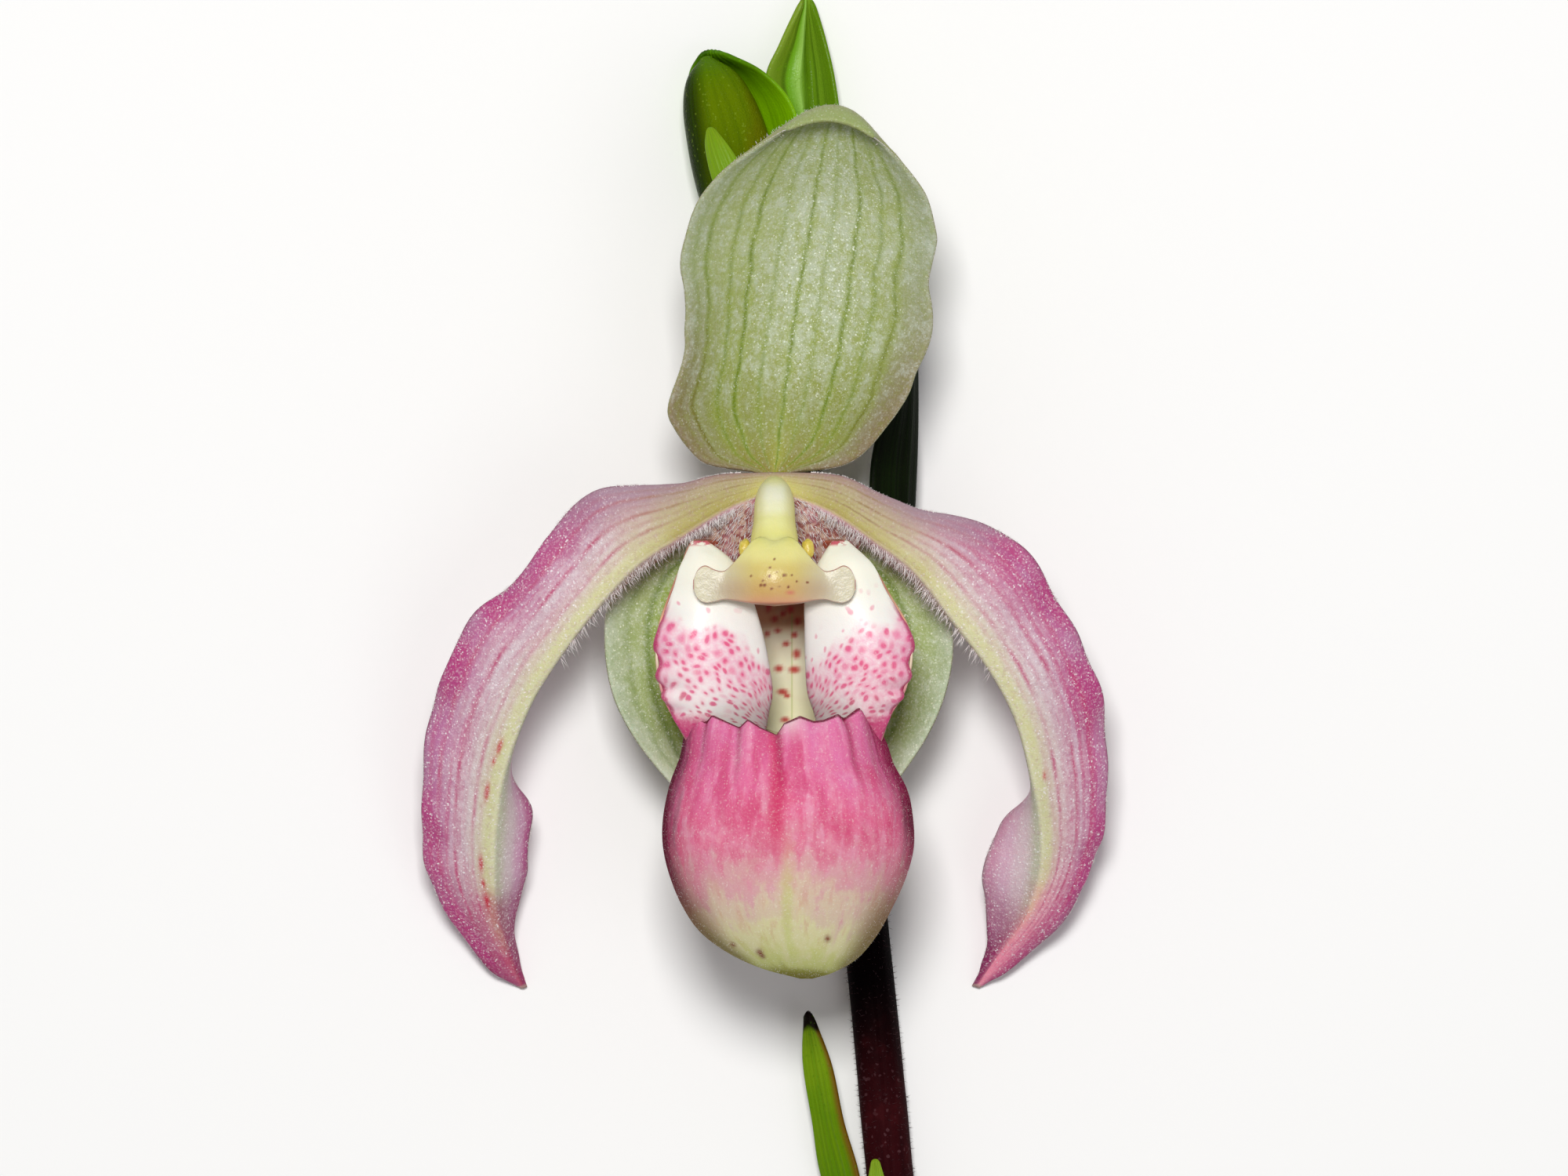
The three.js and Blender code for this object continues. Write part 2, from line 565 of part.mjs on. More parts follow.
/** A point of the pouch: angle 0 is its left side, a quarter turn its front. */
function cupPoint(angle, along, inset) {
  const [leftX, leftY, rightX, rightY, frontZ, backZ] = through(CUP, along);
  const reach = -Math.cos(angle);
  const rise = Math.sin(angle);
  const half = (rightX - leftX) / 2 - inset;
  const middleZ = (frontZ + backZ) / 2;
  const depth = (frontZ - backZ) / 2 - inset;
  const bulge = Math.sign(rise) * Math.abs(rise) ** CUP_SQUARENESS;
  const x = (leftX + rightX) / 2 + half * reach;
  let y = leftY + ((rightY - leftY) * (reach + 1)) / 2;
  const rimShare = Math.max(0, 1 - along * (CUP.length - 1));
  if (rise > -1e-9) y += (lookUp(RIM, x) - y) * rimShare;
  else y += rimShare * BACK_RIM_LIFT;
  return new THREE.Vector3(x, y, middleZ + depth * bulge);
}

function cup() {
  const angles = cupAngles();
  const ring = (along, inset) => angles.map((angle) => cupPoint(angle, along, inset));
  const inside = [];
  const outside = [];
  for (let j = 0; j <= CUP_STEPS; j += 1) {
    inside.unshift(ring((j / CUP_STEPS) * TOE_INSET, j === 0 ? RIM_WALL : CUP_WALL));
    outside.push(ring(j / CUP_STEPS, 0));
  }
  for (const p of inside.at(-1)) p.y -= RIM_BEVEL;
  return loft([...inside, ...outside]);
}

function lip() {
  return join(
    sheet(troughPoint, 16, 10, () => TROUGH_WALL),
    sheet(lobe(LOBE_LEFT, -1), 8, 10, () => LIP_WALL),
    sheet(lobe(LOBE_RIGHT, 1), 8, 10, () => LIP_WALL),
    cup(),
  );
}

/** The shield's middle surface: u from wing tip to wing tip, v from its lower to upper edge. */
function shieldPoint(u, v) {
  const side = Math.sign(u - 0.5) || 1;
  const [distance, upper, lower] = through(SHIELD, Math.abs(2 * u - 1));
  const y = lower + (upper - lower) * v;
  const middle = Math.max(0, 1 - distance / SHIELD_DOME_REACH);
  const lean = SHIELD_LEAN * middle * (SHIELD_LEAN_PIVOT - v);
  return new THREE.Vector3(side * distance, y, SHIELD_Z + lean);
}

function shieldThickness(u, v) {
  const [distance] = through(SHIELD, Math.abs(2 * u - 1));
  const dome = Math.max(0, 1 - (distance / SHIELD_DOME_REACH) ** 2);
  const phase = THREE.MathUtils.lerp(...SHIELD_DOME_SPAN, v);
  return SHIELD_WING + SHIELD_DOME * dome * Math.sin(Math.PI * phase);
}

function column() {
  return join(
    rod(COLUMN, 14, 8),
    sheet(shieldPoint, 16, 6, shieldThickness),
  );
}

function anther([x, y, z]) {
  const geometry = new THREE.SphereGeometry(ANTHER_RADIUS, 10, 7);
  geometry.scale(1, ANTHER_LENGTH, 1);
  geometry.translate(x, y, z);
  geometry.deleteAttribute('normal');
  geometry.deleteAttribute('uv');
  return mergeVertices(geometry, 1e-4);
}

function sepal(rows, crease, across, along) {
  return sheet(blade(rows, { crease }), across, along, () => SEPAL_THICKNESS);
}

function petal(rows) {
  const surface = blade(rows, { crease: PETAL_CREASE, bulge: PETAL_BULGE, ripple: RIPPLE_HEIGHT });
  return sheet(surface, 10, 24, () => PETAL_THICKNESS);
}

function bract(rows, crease = BRACT_CREASE) {
  return sheet(blade(rows, { crease }), 6, 12, () => BRACT_THICKNESS);
}

// ---------------------------------------------------------------------------------------------
// The whole stem
// ---------------------------------------------------------------------------------------------

const FINISHES = {
  stem: [0x2c0a10, 0.6],
  ovary: [0x4a1a18, 0.65],
  sepal: [0xa9b184, 0.5],
  petal: [0xc88aa4, 0.5],
  lip: [0xd06a94, 0.4],
  column: [0xe0dc9a, 0.35],
  anther: [0xd8c860, 0.4],
  bract: [0x6f9a1e, 0.4],
  bud: [0x5f7414, 0.3],
};

const spray = new THREE.Group();
spray.name = 'phragmipedium';

function add(name, geometry, finish) {
  const [color, roughness] = FINISHES[finish];
  const material = new THREE.MeshStandardMaterial({ color, roughness, metalness: 0 });
  const mesh = new THREE.Mesh(geometry, material);
  mesh.name = name;
  spray.add(mesh);
}

add('stem', stem(), 'stem');
add('ovary', ovary(), 'ovary');
add('dorsal_sepal', sepal(DORSAL, DORSAL_CREASE, 12, 20), 'sepal');
add('synsepal', sepal(SYNSEPAL, SYNSEPAL_CREASE, 10, 14), 'sepal');
add('petal_left', petal(PETAL_LEFT), 'petal');
add('petal_right', petal(PETAL_RIGHT), 'petal');
add('lip', lip(), 'lip');
add('column', column(), 'column');
for (const [name, place] of Object.entries(ANTHERS)) add(name, anther(place), 'anther');
add('floral_bract_1', bract(FLORAL_BRACT_1), 'bract');
add('floral_bract_2', bract(FLORAL_BRACT_2, HOOD_BRACT_CREASE), 'bract');
add('floral_bract_3', bract(FLORAL_BRACT_3), 'bract');
add('small_bract', bract(SMALL_BRACT), 'bract');
add('stem_bract_lower', bract(STEM_BRACT_LOWER), 'bract');
add('stem_bract_small', bract(STEM_BRACT_SMALL), 'bract');
add('bud_2', rod(BUD_2, 14, 16), 'bud');
add('bud_3', rod(BUD_3, 10, 10), 'bud');

// The origin is the middle of the footprint, on the surface that the stem lies on.
spray.updateMatrixWorld(true);
const box = new THREE.Box3().setFromObject(spray, true);
spray.position.set(-(box.min.x + box.max.x) / 2, -(box.min.y + box.max.y) / 2, -box.min.z);

export default spray;
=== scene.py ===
"""Phragmipedium orchid: the looks of one cut flower stem that lies on a pale floor, bloom up.

Shapes are worked out in millimetres from the bloom's base, where sepals, petals, lip and column meet:
+X is the bloom's right as seen from above, +Y is towards its hood, +Z is up. `place` moves them into
the frame, in metres.
"""

import math

import bpy
import numpy as np
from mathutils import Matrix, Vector


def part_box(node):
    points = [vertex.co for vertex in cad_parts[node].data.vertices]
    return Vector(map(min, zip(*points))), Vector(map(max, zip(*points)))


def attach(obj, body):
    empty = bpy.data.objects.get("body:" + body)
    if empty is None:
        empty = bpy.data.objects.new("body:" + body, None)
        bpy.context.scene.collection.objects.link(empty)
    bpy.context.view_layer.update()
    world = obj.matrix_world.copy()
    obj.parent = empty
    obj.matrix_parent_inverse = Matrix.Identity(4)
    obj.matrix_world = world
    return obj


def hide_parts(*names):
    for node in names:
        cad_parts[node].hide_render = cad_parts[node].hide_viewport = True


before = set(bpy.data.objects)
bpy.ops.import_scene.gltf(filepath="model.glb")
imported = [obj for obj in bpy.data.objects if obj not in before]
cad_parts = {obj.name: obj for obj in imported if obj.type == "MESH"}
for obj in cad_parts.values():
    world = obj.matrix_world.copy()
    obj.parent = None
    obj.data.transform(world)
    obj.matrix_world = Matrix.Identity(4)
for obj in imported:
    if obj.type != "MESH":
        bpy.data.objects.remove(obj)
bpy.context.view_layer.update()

# ---- Driving dimensions, in millimetres from the bloom's base ----

FLOOR = -20.0

SEPAL_THICKNESS = 0.75
PETAL_THICKNESS = 0.7
BRACT_THICKNESS = 0.65
LOBE_WALL = 0.7
TROUGH_WALL = 0.6
CUP_WALL = 1.0
EDGE_SHARE = 0.36  # how thick a blade's margin is, of its middle
SHIELD_EDGE_SHARE = 0.6
TIP_SHARE = 0.55  # how thick its tip is
TIP_REACH = 0.03  # share of its length that it thins over

DORSAL_CREASE = 1.2
SYNSEPAL_CREASE = 1.5
PETAL_CREASE = 0.1
CLAW_CREASE = 1.0
BRACT_CREASE = 0.5
HOOD_BRACT_CREASE = 1.0
PETAL_BULGE = (0.5, 0.2)
RIPPLE_HEIGHT = 0.35
RIPPLE_COUNT = 7

# Stem: x, y, radius. It lies on the floor.
STEM = [
    (14.8, -100.9, 2.35), (12.8, -81.4, 2.35), (11, -64.9, 2.25), (9.2, -46.1, 2.2), (7, -25.9, 2.15),
    (4.6, -9.4, 1.65), (2.4, 5.6, 1.5), (1.5, 16.1, 1.45), (0.9, 22.6, 1),
]
STEM_NODES_Y = (-77, -25.9, 16.4)
NODE_SWELLING = 0.35
NODE_LENGTH = 2.2

# Ovary with its stalk: x, y, z, radius.
OVARY = [
    (6.7, -24.4, -14.2, 1.05), (5.9, -20, -13.3, 1.25), (4.3, -14, -12.4, 1.6), (2.6, -8, -11.1, 1.8),
    (0.8, -2.6, -8.6, 1.85), (0, -0.1, -5.4, 1.95), (0, 0.2, -3.2, 2.15),
]
OVARY_RIBS = 6
RIB_HEIGHT = 0.16

# Blades, from base to tip: left margin, midrib and right margin.
DORSAL = [
    [(-1.2, 2.2, -2.2), (0, 2.1, -2.2), (1.2, 2.2, -2.2)],
    [(-6.8, 3.4, -0.7), (0.4, 4.9, -2.8), (7, 3.3, -0.7)],
    [(-9.7, 7, 1), (0.8, 8.7, -3.4), (10.7, 7.2, 1)],
    [(-9.1, 11.2, 1.4), (1.3, 12.5, -3.6), (12.9, 11, 1.6)],
    [(-8.2, 15.2, 1.2), (1.9, 16.6, -3.4), (14.7, 15.4, 1.4)],
    [(-8.3, 19.4, 1.8), (2.5, 20.6, -2.8), (14.7, 20, 1.6)],
    [(-8.7, 23, 2.6), (3.1, 24.2, -1.8), (15, 24.4, 2.6)],
    [(-7.4, 27.1, 3.6), (3.8, 28.2, -0.2), (14.5, 27.6, 3.6)],
    [(-4.8, 30.6, 4.8), (4.4, 32, 2.2), (12.7, 30.6, 4.8)],
    [(-1.6, 33, 6), (5.1, 35.2, 4.6), (10.8, 32.7, 6)],
    [(0.5, 34.3, 7.4), (5.6, 36.6, 6.7), (9.6, 33.7, 7.4)],
    [(1.3, 34.6, 8.6), (5.5, 35.4, 9), (9.3, 33.8, 8.6)],
]
SYNSEPAL = [
    [(-1.6, -2.1, -2.2), (0.1, -2.2, -2.3), (1.8, -2.1, -2.2)],
    [(-7, -2.9, -4.3), (0.3, -4, -4.4), (7.4, -3.5, -4.3)],
    [(-12.4, -5.9, -5.2), (0.4, -7, -6.7), (13.5, -7.3, -5.2)],
    [(-15.6, -9.8, -5.2), (0.4, -10.8, -8), (16.4, -11.2, -5.2)],
    [(-16.1, -13.9, -4.4), (0.4, -14.6, -8.8), (16.9, -14.6, -4.4)],
    [(-15.4, -18.4, -4), (0.4, -18.8, -9.4), (16.1, -18.8, -4)],
    [(-13.7, -22.1, -4.2), (0.5, -22.8, -9.8), (14.4, -22.7, -4.2)],
    [(-11.2, -25.6, -5.2), (0.6, -26.8, -10.1), (11.8, -26.6, -5.2)],
    [(-8.1, -29, -6.8), (0.7, -30.6, -10.3), (9, -30.2, -6.8)],
    [(-4, -33, -8.8), (0.8, -34.2, -10.2), (5.8, -33.8, -8.8)],
    [(0.5, -36.8, -9.8), (1, -37, -9.9), (1.5, -36.8, -9.8)],
]
# Petals: outer margin, midrib and inner margin.
PETAL_LEFT = [
    [(0.5, 2.3, -1.1), (-0.6, 0.8, -0.4), (-0.9, -0.4, -1.4)],
    [(-5.6, 2.1, 0), (-5, -1.1, 0.6), (-4.7, -2, -1.2)],
    [(-10.7, 1.3, 0.5), (-8.9, -3.4, 1.6), (-8.9, -4.4, -1.6)],
    [(-16.4, 0.6, 0.2), (-13.3, -6.2, 1.6), (-12.9, -7.1, -2.6)],
    [(-21.4, -3.9, -1.2), (-17.2, -10.4, 0.8), (-17.5, -10.8, -4.4)],
    [(-26.1, -9.3, -2.8), (-20.5, -14.7, -0.6), (-21.4, -14.9, -6.4)],
    [(-29.9, -13.7, -4.8), (-23.5, -19.5, -2.6), (-24.4, -19.8, -8.2)],
    [(-32.3, -20.2, -7.4), (-25.8, -25.4, -5.4), (-25.3, -25.6, -9.6)],
    [(-33.3, -28.1, -10.2), (-26.8, -31.1, -8.6), (-23.4, -30.4, -11.8)],
    [(-32.9, -34.3, -12.8), (-27, -36, -11.6), (-23.8, -35.2, -14)],
    [(-30.6, -39.5, -15), (-26.6, -39.9, -14.2), (-24.9, -39.6, -16.2)],
    [(-27, -44.6, -17.8), (-25.2, -44.2, -17.4), (-24.6, -44, -18.4)],
    [(-24.3, -46.8, -19.7), (-24, -46.8, -19.6), (-23.7, -46.7, -19.7)],
]
PETAL_RIGHT = [
    [(-0.5, 2.3, -1.1), (0.6, 0.8, -0.4), (0.9, -0.4, -1.4)],
    [(6, 2, 0), (5.5, -1.2, 0.6), (5.3, -2.2, -1.2)],
    [(11.4, -0.2, 0.5), (9.6, -3.9, 1.6), (9.4, -5, -1.6)],
    [(17.7, -2.1, 0.2), (13.6, -6.9, 1.6), (13.2, -8, -2.6)],
    [(23.2, -4.9, -1.2), (17.3, -11.6, 0.8), (17.6, -12.1, -4.4)],
    [(26.8, -9.9, -2.8), (20.6, -16, -0.6), (21.4, -16.2, -6.4)],
    [(29.8, -15.5, -4.8), (23.2, -20.9, -2.6), (24, -21.2, -8.2)],
    [(31.2, -22.1, -7.4), (24.8, -26.7, -5.4), (24.8, -27.2, -9.8)],
    [(31.2, -30.2, -10.2), (25.6, -31.4, -8.6), (21.8, -31.4, -11.8)],
    [(29.5, -35.7, -12.8), (25.5, -35.8, -11.6), (20.2, -36.6, -14)],
    [(26.5, -40.4, -15), (23.9, -39.9, -14.2), (20.7, -41, -16.2)],
    [(21.9, -44.6, -17.8), (21.1, -44, -17.4), (19.5, -44.8, -18.4)],
    [(19.6, -46.8, -19.7), (19.3, -46.7, -19.6), (18.9, -46.6, -19.7)],
]

# How far the petals' margins stand out of those curves, at even steps from base to tip.
PETAL_WAVES = {
    -1: (
        [0, 0, 0, -0.2, -0.4, -0.3, -0.1, 0, 0.3, 0.5, 0.1, -0.35, -0.2, 0.4, 0.4, 0.2, 0, 0.25, 0.3,
         0.25, 0.2, 0.15, 0.45, 0.65, 0.75, 0.8, 0.7, 0.6, 0.5, 0.2, 0],
        [0, 0, 0, 0, 0, 0, 0, 0, 0, 0, 0, 0, 0, 0, 0, 0, 0, 0.2, 0.5, 0.5, 0.35, 0, -0.1, 0.4, 0.5,
         0.1, -0.1, -0.05, -0.2, -0.2, 0],
    ),
    1: (
        [0, 0, 0, 0, -0.1, -0.2, -0.3, 0, 0.35, 0.4, 0.3, 0.25, 0.1, 0, 0, 0, 0.3, 0.4, 0.15, 0.2,
         0.3, 0.4, 0.45, 0.5, 0.85, 0.95, 1, 0.9, 0.65, 0.25, 0],
        [0, 0, 0, 0, 0, 0, 0, 0, 0, 0, 0, 0, 0, 0, 0, 0, 0, 0.3, 0.6, 0.2, 0.4, 0.6, 0.5, 0.2, 0.4,
         0.45, 0, -0.4, -0.5, -0.2, 0],
    ),
}
# The same for the dorsal sepal's left and right margin.
DORSAL_WAVES = (
    [0, 0, 0.15, -0.1, -0.05, 0.35, 0.3, -0.05, 0, 0.35, 0.2, 0.2, 0.25, 0.1, 0, 0.15, 0.3, 0.25, 0.2,
     0.15, 0.1, 0, 0, 0, 0],
    [0, 0, 0.1, 0.2, 0.25, 0.3, 0.35, 0.05, 0.1, 0.1, 0.05, -0.25, 0, 0.3, 0.1, 0.05, 0.15, 0.1, 0,
     0.1, 0, 0, 0, 0, 0],
)

# Claw: the brown hairy ground on both sides of the column, between petals and lip.
CLAW = [
    [(-1, 1.2, -0.9), (0, 1.3, -0.8), (1, 1.2, -0.9)],
    [(-3.6, -0.3, -0.4), (0, -0.4, 0), (3.6, -0.4, -0.4)],
    [(-6.2, -1.7, -0.4), (0, -2.2, 0), (6.4, -1.9, -0.4)],
    [(-8, -3.6, -0.6), (0, -4.2, -0.4), (8.2, -3.8, -0.6)],
    [(-7.8, -5.6, -0.8), (0, -6.2, -1.2), (7.6, -5.8, -0.8)],
    [(-6.6, -7.8, -1.2), (0, -8.2, -1.8), (6.6, -8, -1.2)],
]

# Lip, upper trough: y, left and right fold (x), the folds' z, the back's z.
TROUGH = [
    (-2.6, -2, 2, -0.7, -1.15), (-3.4, -5.6, 5, 1.8, -1.6), (-4.4, -7.8, 6.9, 5.8, -2),
    (-6.4, -8.7, 9.1, 7.6, -2.4), (-9.4, -9.9, 10.9, 8.4, -2.9), (-12.4, -10.9, 12.6, 8.8, -3.5),
    (-15.4, -11.1, 12.9, 8.9, -4.2), (-18.4, -10.6, 12.2, 8.6, -4.9), (-20.6, -9.6, 10.9, 8, -5.3),
    (-23.4, -8, 9.9, 7, -5.45),
]
TROUGH_SHAPE = (0.75, 0.9)
TROUGH_START = 0.2
# Lip, side lobes: x and z of the inner edge and the bulge's height, from the trough's third row on.
LOBE_LEFT = [
    (-6.6, 6.2, 0.2), (-4.1, 7.4, 1.1), (-2.6, 7.8, 1.6), (-1.65, 7.8, 1.9), (-1, 7.4, 2),
    (-0.6, 6.6, 1.9), (-0.95, 5.4, 1.5), (-1.4, 3, 0.8),
]
LOBE_RIGHT = [
    (5.7, 6.2, 0.2), (4.4, 7.4, 1.1), (3.3, 7.8, 1.6), (3.25, 7.8, 1.9), (3.3, 7.4, 2),
    (3.5, 6.6, 1.9), (4.15, 5.4, 1.5), (4.6, 3, 0.8),
]
# Across a lobe: share of the way from the fold to the inner edge, and of the bulge's height.
LOBE_ARCH = ((0, 0), (0.35, 1), (0.72, 0.9), (1, 0))
LOBE_CURL = (0.7, 2)
LOBE_WAVE = 0.28  # waves of a lobe's outer margin

# Lip, pouch: left x and y, right x and y, front z, back z, from its rim to its toe.
CUP = [
    (-8.2, -21.6, 9.8, -22.2, 12.4, -5.9), (-8.9, -24.4, 11.2, -25.1, 14.2, -6.1),
    (-9.9, -27.1, 12.6, -27.8, 15.6, -6.3), (-10.5, -30.2, 13.1, -30.6, 16.4, -6.2),
    (-10.5, -33, 13.1, -33.4, 16.4, -5.9), (-9.9, -35.8, 12.3, -36.3, 15.8, -5.2),
    (-8.8, -38.5, 11.1, -38.9, 14.6, -4.1), (-7.1, -41, 9.6, -41.5, 12.7, -2.6),
    (-4.5, -43, 7.8, -43.6, 10.5, -0.8), (-1.3, -44.5, 5.6, -44.9, 7.8, 1.6),
    (2.4, -45.5, 3.6, -45.5, 5.2, 4.2),
]
CUP_RIM_RISE = 0.07  # of the rim's middle
CUP_SQUARENESS = 0.86
TOE_INSET = 0.94
BACK_RIM_LIFT = 1.2
PLEAT_DEPTH = 0.12
PLEAT_REACH = 0.42  # share of the pouch's length that they fade out over
# The pouch's toothed front rim: x and y of each tooth and notch.
RIM = [
    (-8.2, -21.6), (-7.7, -20.6), (-6.4, -21.4), (-5.9, -20.6), (-4.6, -21.2), (-3.3, -21.8),
    (-2.5, -21), (-1.3, -21.8), (0.2, -22.5), (0.9, -21.4), (2.4, -20.7), (3.7, -21.2), (4.6, -21.1),
    (6, -20.5), (6.5, -21), (8.1, -19.8), (8.7, -20.6), (9.8, -22.2),
]
# How far the pleat below each of them stands out, or lies in where it is below 0.
PLEATS = [-0.4, 1, -1, 1, 0, -0.6, 0.8, -0.3, -1, 0.4, 0.8, -0.2, 0.2, 0.9, -1, 1, -0.6, -0.4]
# Dark lines down from the rim's deep notches: half width in radians, share of the length, strength.
NOTCH_LINE_WIDTH = 0.035
NOTCH_LINE_REACH = 0.22
NOTCH_LINE_STRENGTH = 0.75

# Column: x, y, z, radius of its neck, which ends inside the shield's dome.
COLUMN = [
    (0, 0.9, -3.2, 0.5), (0, 0.9, -0.4, 1.05), (0, 0.2, 2, 1.62), (0, -0.95, 4.5, 1.9),
    (0, -2.6, 7, 2), (0, -4.4, 8.75, 2.25), (0, -6.2, 9.75, 2), (0, -7.6, 10.5, 0.9),
]
# Shield: distance from the middle, upper edge and lower edge.
SHIELD = [
    (0, -3.9, -10.2), (1.6, -3.95, -10.1), (2.6, -4.85, -10), (3.7, -6.1, -9.8), (4.7, -7, -9.7),
    (5.6, -6.9, -9.9), (6.5, -6.5, -10), (7.2, -6.9, -9.6), (7.65, -7.9, -8.7),
]
SHIELD_Z = 11.2
SHIELD_WING = 0.55
SHIELD_DOME = 2.6
SHIELD_DOME_REACH = 6
SHIELD_LEAN = 1.1
SHIELD_LEAN_PIVOT = 0.6
SHIELD_DOME_SPAN = (0.14, 1)
SHIELD_SINK = 0.5  # how far its upper edge dips into the neck
ANTHER_RADIUS = 0.62
ANTHER_LENGTH = 1.3
ANTHERS = {"anther_left": (-2.9, -4.9, 8), "anther_right": (3.1, -4.9, 8)}

FLORAL_BRACT_1 = [
    [(9.6, -24.5, -15.2), (10.3, -24.5, -17.2), (10, -24.5, -18.9)],
    [(9.5, -15, -13.5), (11.6, -15, -16), (10.2, -15, -19)],
    [(9.2, -5, -12.5), (12.8, -5, -15.5), (10, -5, -19)],
    [(9.2, 3, -12), (13.3, 3, -15.2), (9.8, 3, -18.8)],
    [(10.6, 9, -12.2), (13.4, 9, -15.2), (10.8, 9, -18.2)],
    [(12, 14.5, -13.2), (13.3, 14.6, -15), (12, 14.5, -16.8)],
    [(12.8, 19, -14.4), (13, 19.2, -14.7), (12.8, 19, -15)],
]
FLORAL_BRACT_2 = [
    [(-2.1, 19.4, -18.4), (-1.4, 19.3, -19.2), (-0.7, 19.5, -17)],
    [(-5.2, 25, -18.1), (-2, 25, -19.3), (1.8, 25, -14.8)],
    [(-7.3, 31.5, -17.7), (-3.4, 31.5, -19.5), (2.7, 31.5, -14.1)],
    [(-8.4, 37, -17.4), (-4.4, 37, -19.5), (1.9, 36.9, -13.8)],
    [(-8.1, 40.4, -16.6), (-5.2, 40.5, -19), (-0.9, 40.4, -13.9)],
    [(-7, 42.3, -15.7), (-6.1, 42.7, -16.2), (-4.9, 42.4, -15.2)],
]
FLORAL_BRACT_3 = [
    [(1.2, 25.2, -18.2), (2.2, 24.8, -19.3), (3.4, 25.2, -17.8)],
    [(1, 30, -18), (3.2, 30, -19.6), (5.8, 30.2, -17.2)],
    [(0.6, 35, -17.8), (3.3, 35, -19.6), (6.2, 35.4, -16.8)],
    [(-0.8, 39.8, -17.2), (3, 39.6, -19.4), (5.7, 39.9, -16.8)],
    [(0.5, 43.3, -17), (2.9, 43.6, -19), (4.8, 43.8, -17)],
    [(2.5, 47.4, -17.1), (3.1, 47.8, -17.4), (3.7, 47.3, -17.1)],
]
SMALL_BRACT = [
    [(-0.9, 20, -13.8), (0.1, 20.2, -13.4), (1.1, 20.4, -13.8)],
    [(-3.9, 25.5, -11), (-2.6, 25.8, -10.4), (-1.2, 26, -11)],
    [(-5.8, 30, -10.2), (-4.3, 30.3, -9.4), (-2.8, 30.6, -9.9)],
    [(-6.5, 33.2, -10.5), (-5.4, 33.3, -9.7), (-4.2, 33.1, -9.9)],
    [(-6.35, 35, -10.6), (-6.15, 35.2, -10.5), (-5.95, 35, -10.5)],
]
STEM_BRACT_LOWER = [
    [(9.4, -77, -19), (9.1, -77, -17.2), (9.9, -77, -15.4)],
    [(7, -71, -18.6), (7.5, -71, -16.9), (8.8, -71, -15.5)],
    [(4.5, -64.9, -17.8), (6.1, -64.9, -16.9), (8.1, -64.9, -15.6)],
    [(3.6, -59.6, -17), (4.9, -59.6, -16.5), (6.6, -59.6, -15.6)],
    [(2.7, -54, -16.4), (3.9, -54, -16.1), (5.4, -54, -15.5)],
    [(2.75, -49.6, -15.7), (3.15, -49, -15.6), (3.65, -49.6, -15.4)],
]
STEM_BRACT_SMALL = [
    [(11.2, -76.4, -14.7), (12.6, -76.4, -14.3), (14, -76.4, -14.7)],
    [(10, -71, -14.7), (11.2, -71, -14.3), (12.4, -71, -14.7)],
    [(9, -66, -14.7), (9.9, -66, -14.4), (10.8, -66, -14.7)],
    [(9.3, -63.3, -14.7), (9.6, -63.1, -14.6), (9.9, -63.3, -14.7)],
]
# Buds with their stalks: x, y, z, radius.
BUD_2 = [
    (0.5, 18.4, -15.8, 0.85), (-1.2, 21.4, -15.2, 0.9), (-2.5, 24, -14.7, 1.5), (-3, 26.2, -14.4, 2.8),
    (-3.4, 28.6, -14.3, 3.65), (-3.9, 31.5, -14.3, 3.95), (-4.6, 34.6, -14.5, 3.85),
    (-5.5, 37.8, -14.8, 3.35), (-6.2, 40.3, -15.1, 2.3), (-6.6, 42.1, -15.3, 0.35),
]
BUD_3 = [
    (2.2, 24.8, -17.2, 0.6), (2.8, 26.6, -16.9, 0.8), (3.4, 28.6, -16.5, 1.35),
    (3.6, 30.8, -16.4, 1.45), (3.7, 33.4, -16.4, 1.35), (3.7, 35.6, -16.7, 0.9),
    (3.6, 36.8, -16.8, 0.25),
]

# Veins: place across a blade (0 and 1 are its margins) and strength.
DORSAL_VEINS = [
    (0.045, 0.35), (0.095, 0.8), (0.195, 0.6), (0.275, 1), (0.385, 0.45), (0.5, 0.9), (0.593, 0.4),
    (0.7, 0.9), (0.797, 0.55), (0.878, 0.8), (0.955, 0.45),
]
SYNSEPAL_VEINS = [
    (0.06, 0.35), (0.12, 0.7), (0.19, 0.5), (0.27, 0.8), (0.38, 0.5), (0.5, 0.6), (0.62, 0.5),
    (0.73, 0.8), (0.81, 0.5), (0.88, 0.7), (0.94, 0.35),
]
PETAL_VEINS = [
    (0.06, 0.3), (0.115, 0.85), (0.175, 0.3), (0.235, 1), (0.3, 0.4), (0.36, 0.9), (0.41, 0.25),
]

# Red dashes beside the left petal's midrib: across, along, half length, half width.
PETAL_DASHES = [
    (0.44, 0.565, 0.009, 0.014), (0.432, 0.585, 0.005, 0.01), (0.43, 0.625, 0.011, 0.014),
    (0.422, 0.73, 0.013, 0.016), (0.43, 0.765, 0.008, 0.014), (0.44, 0.8, 0.017, 0.02),
]
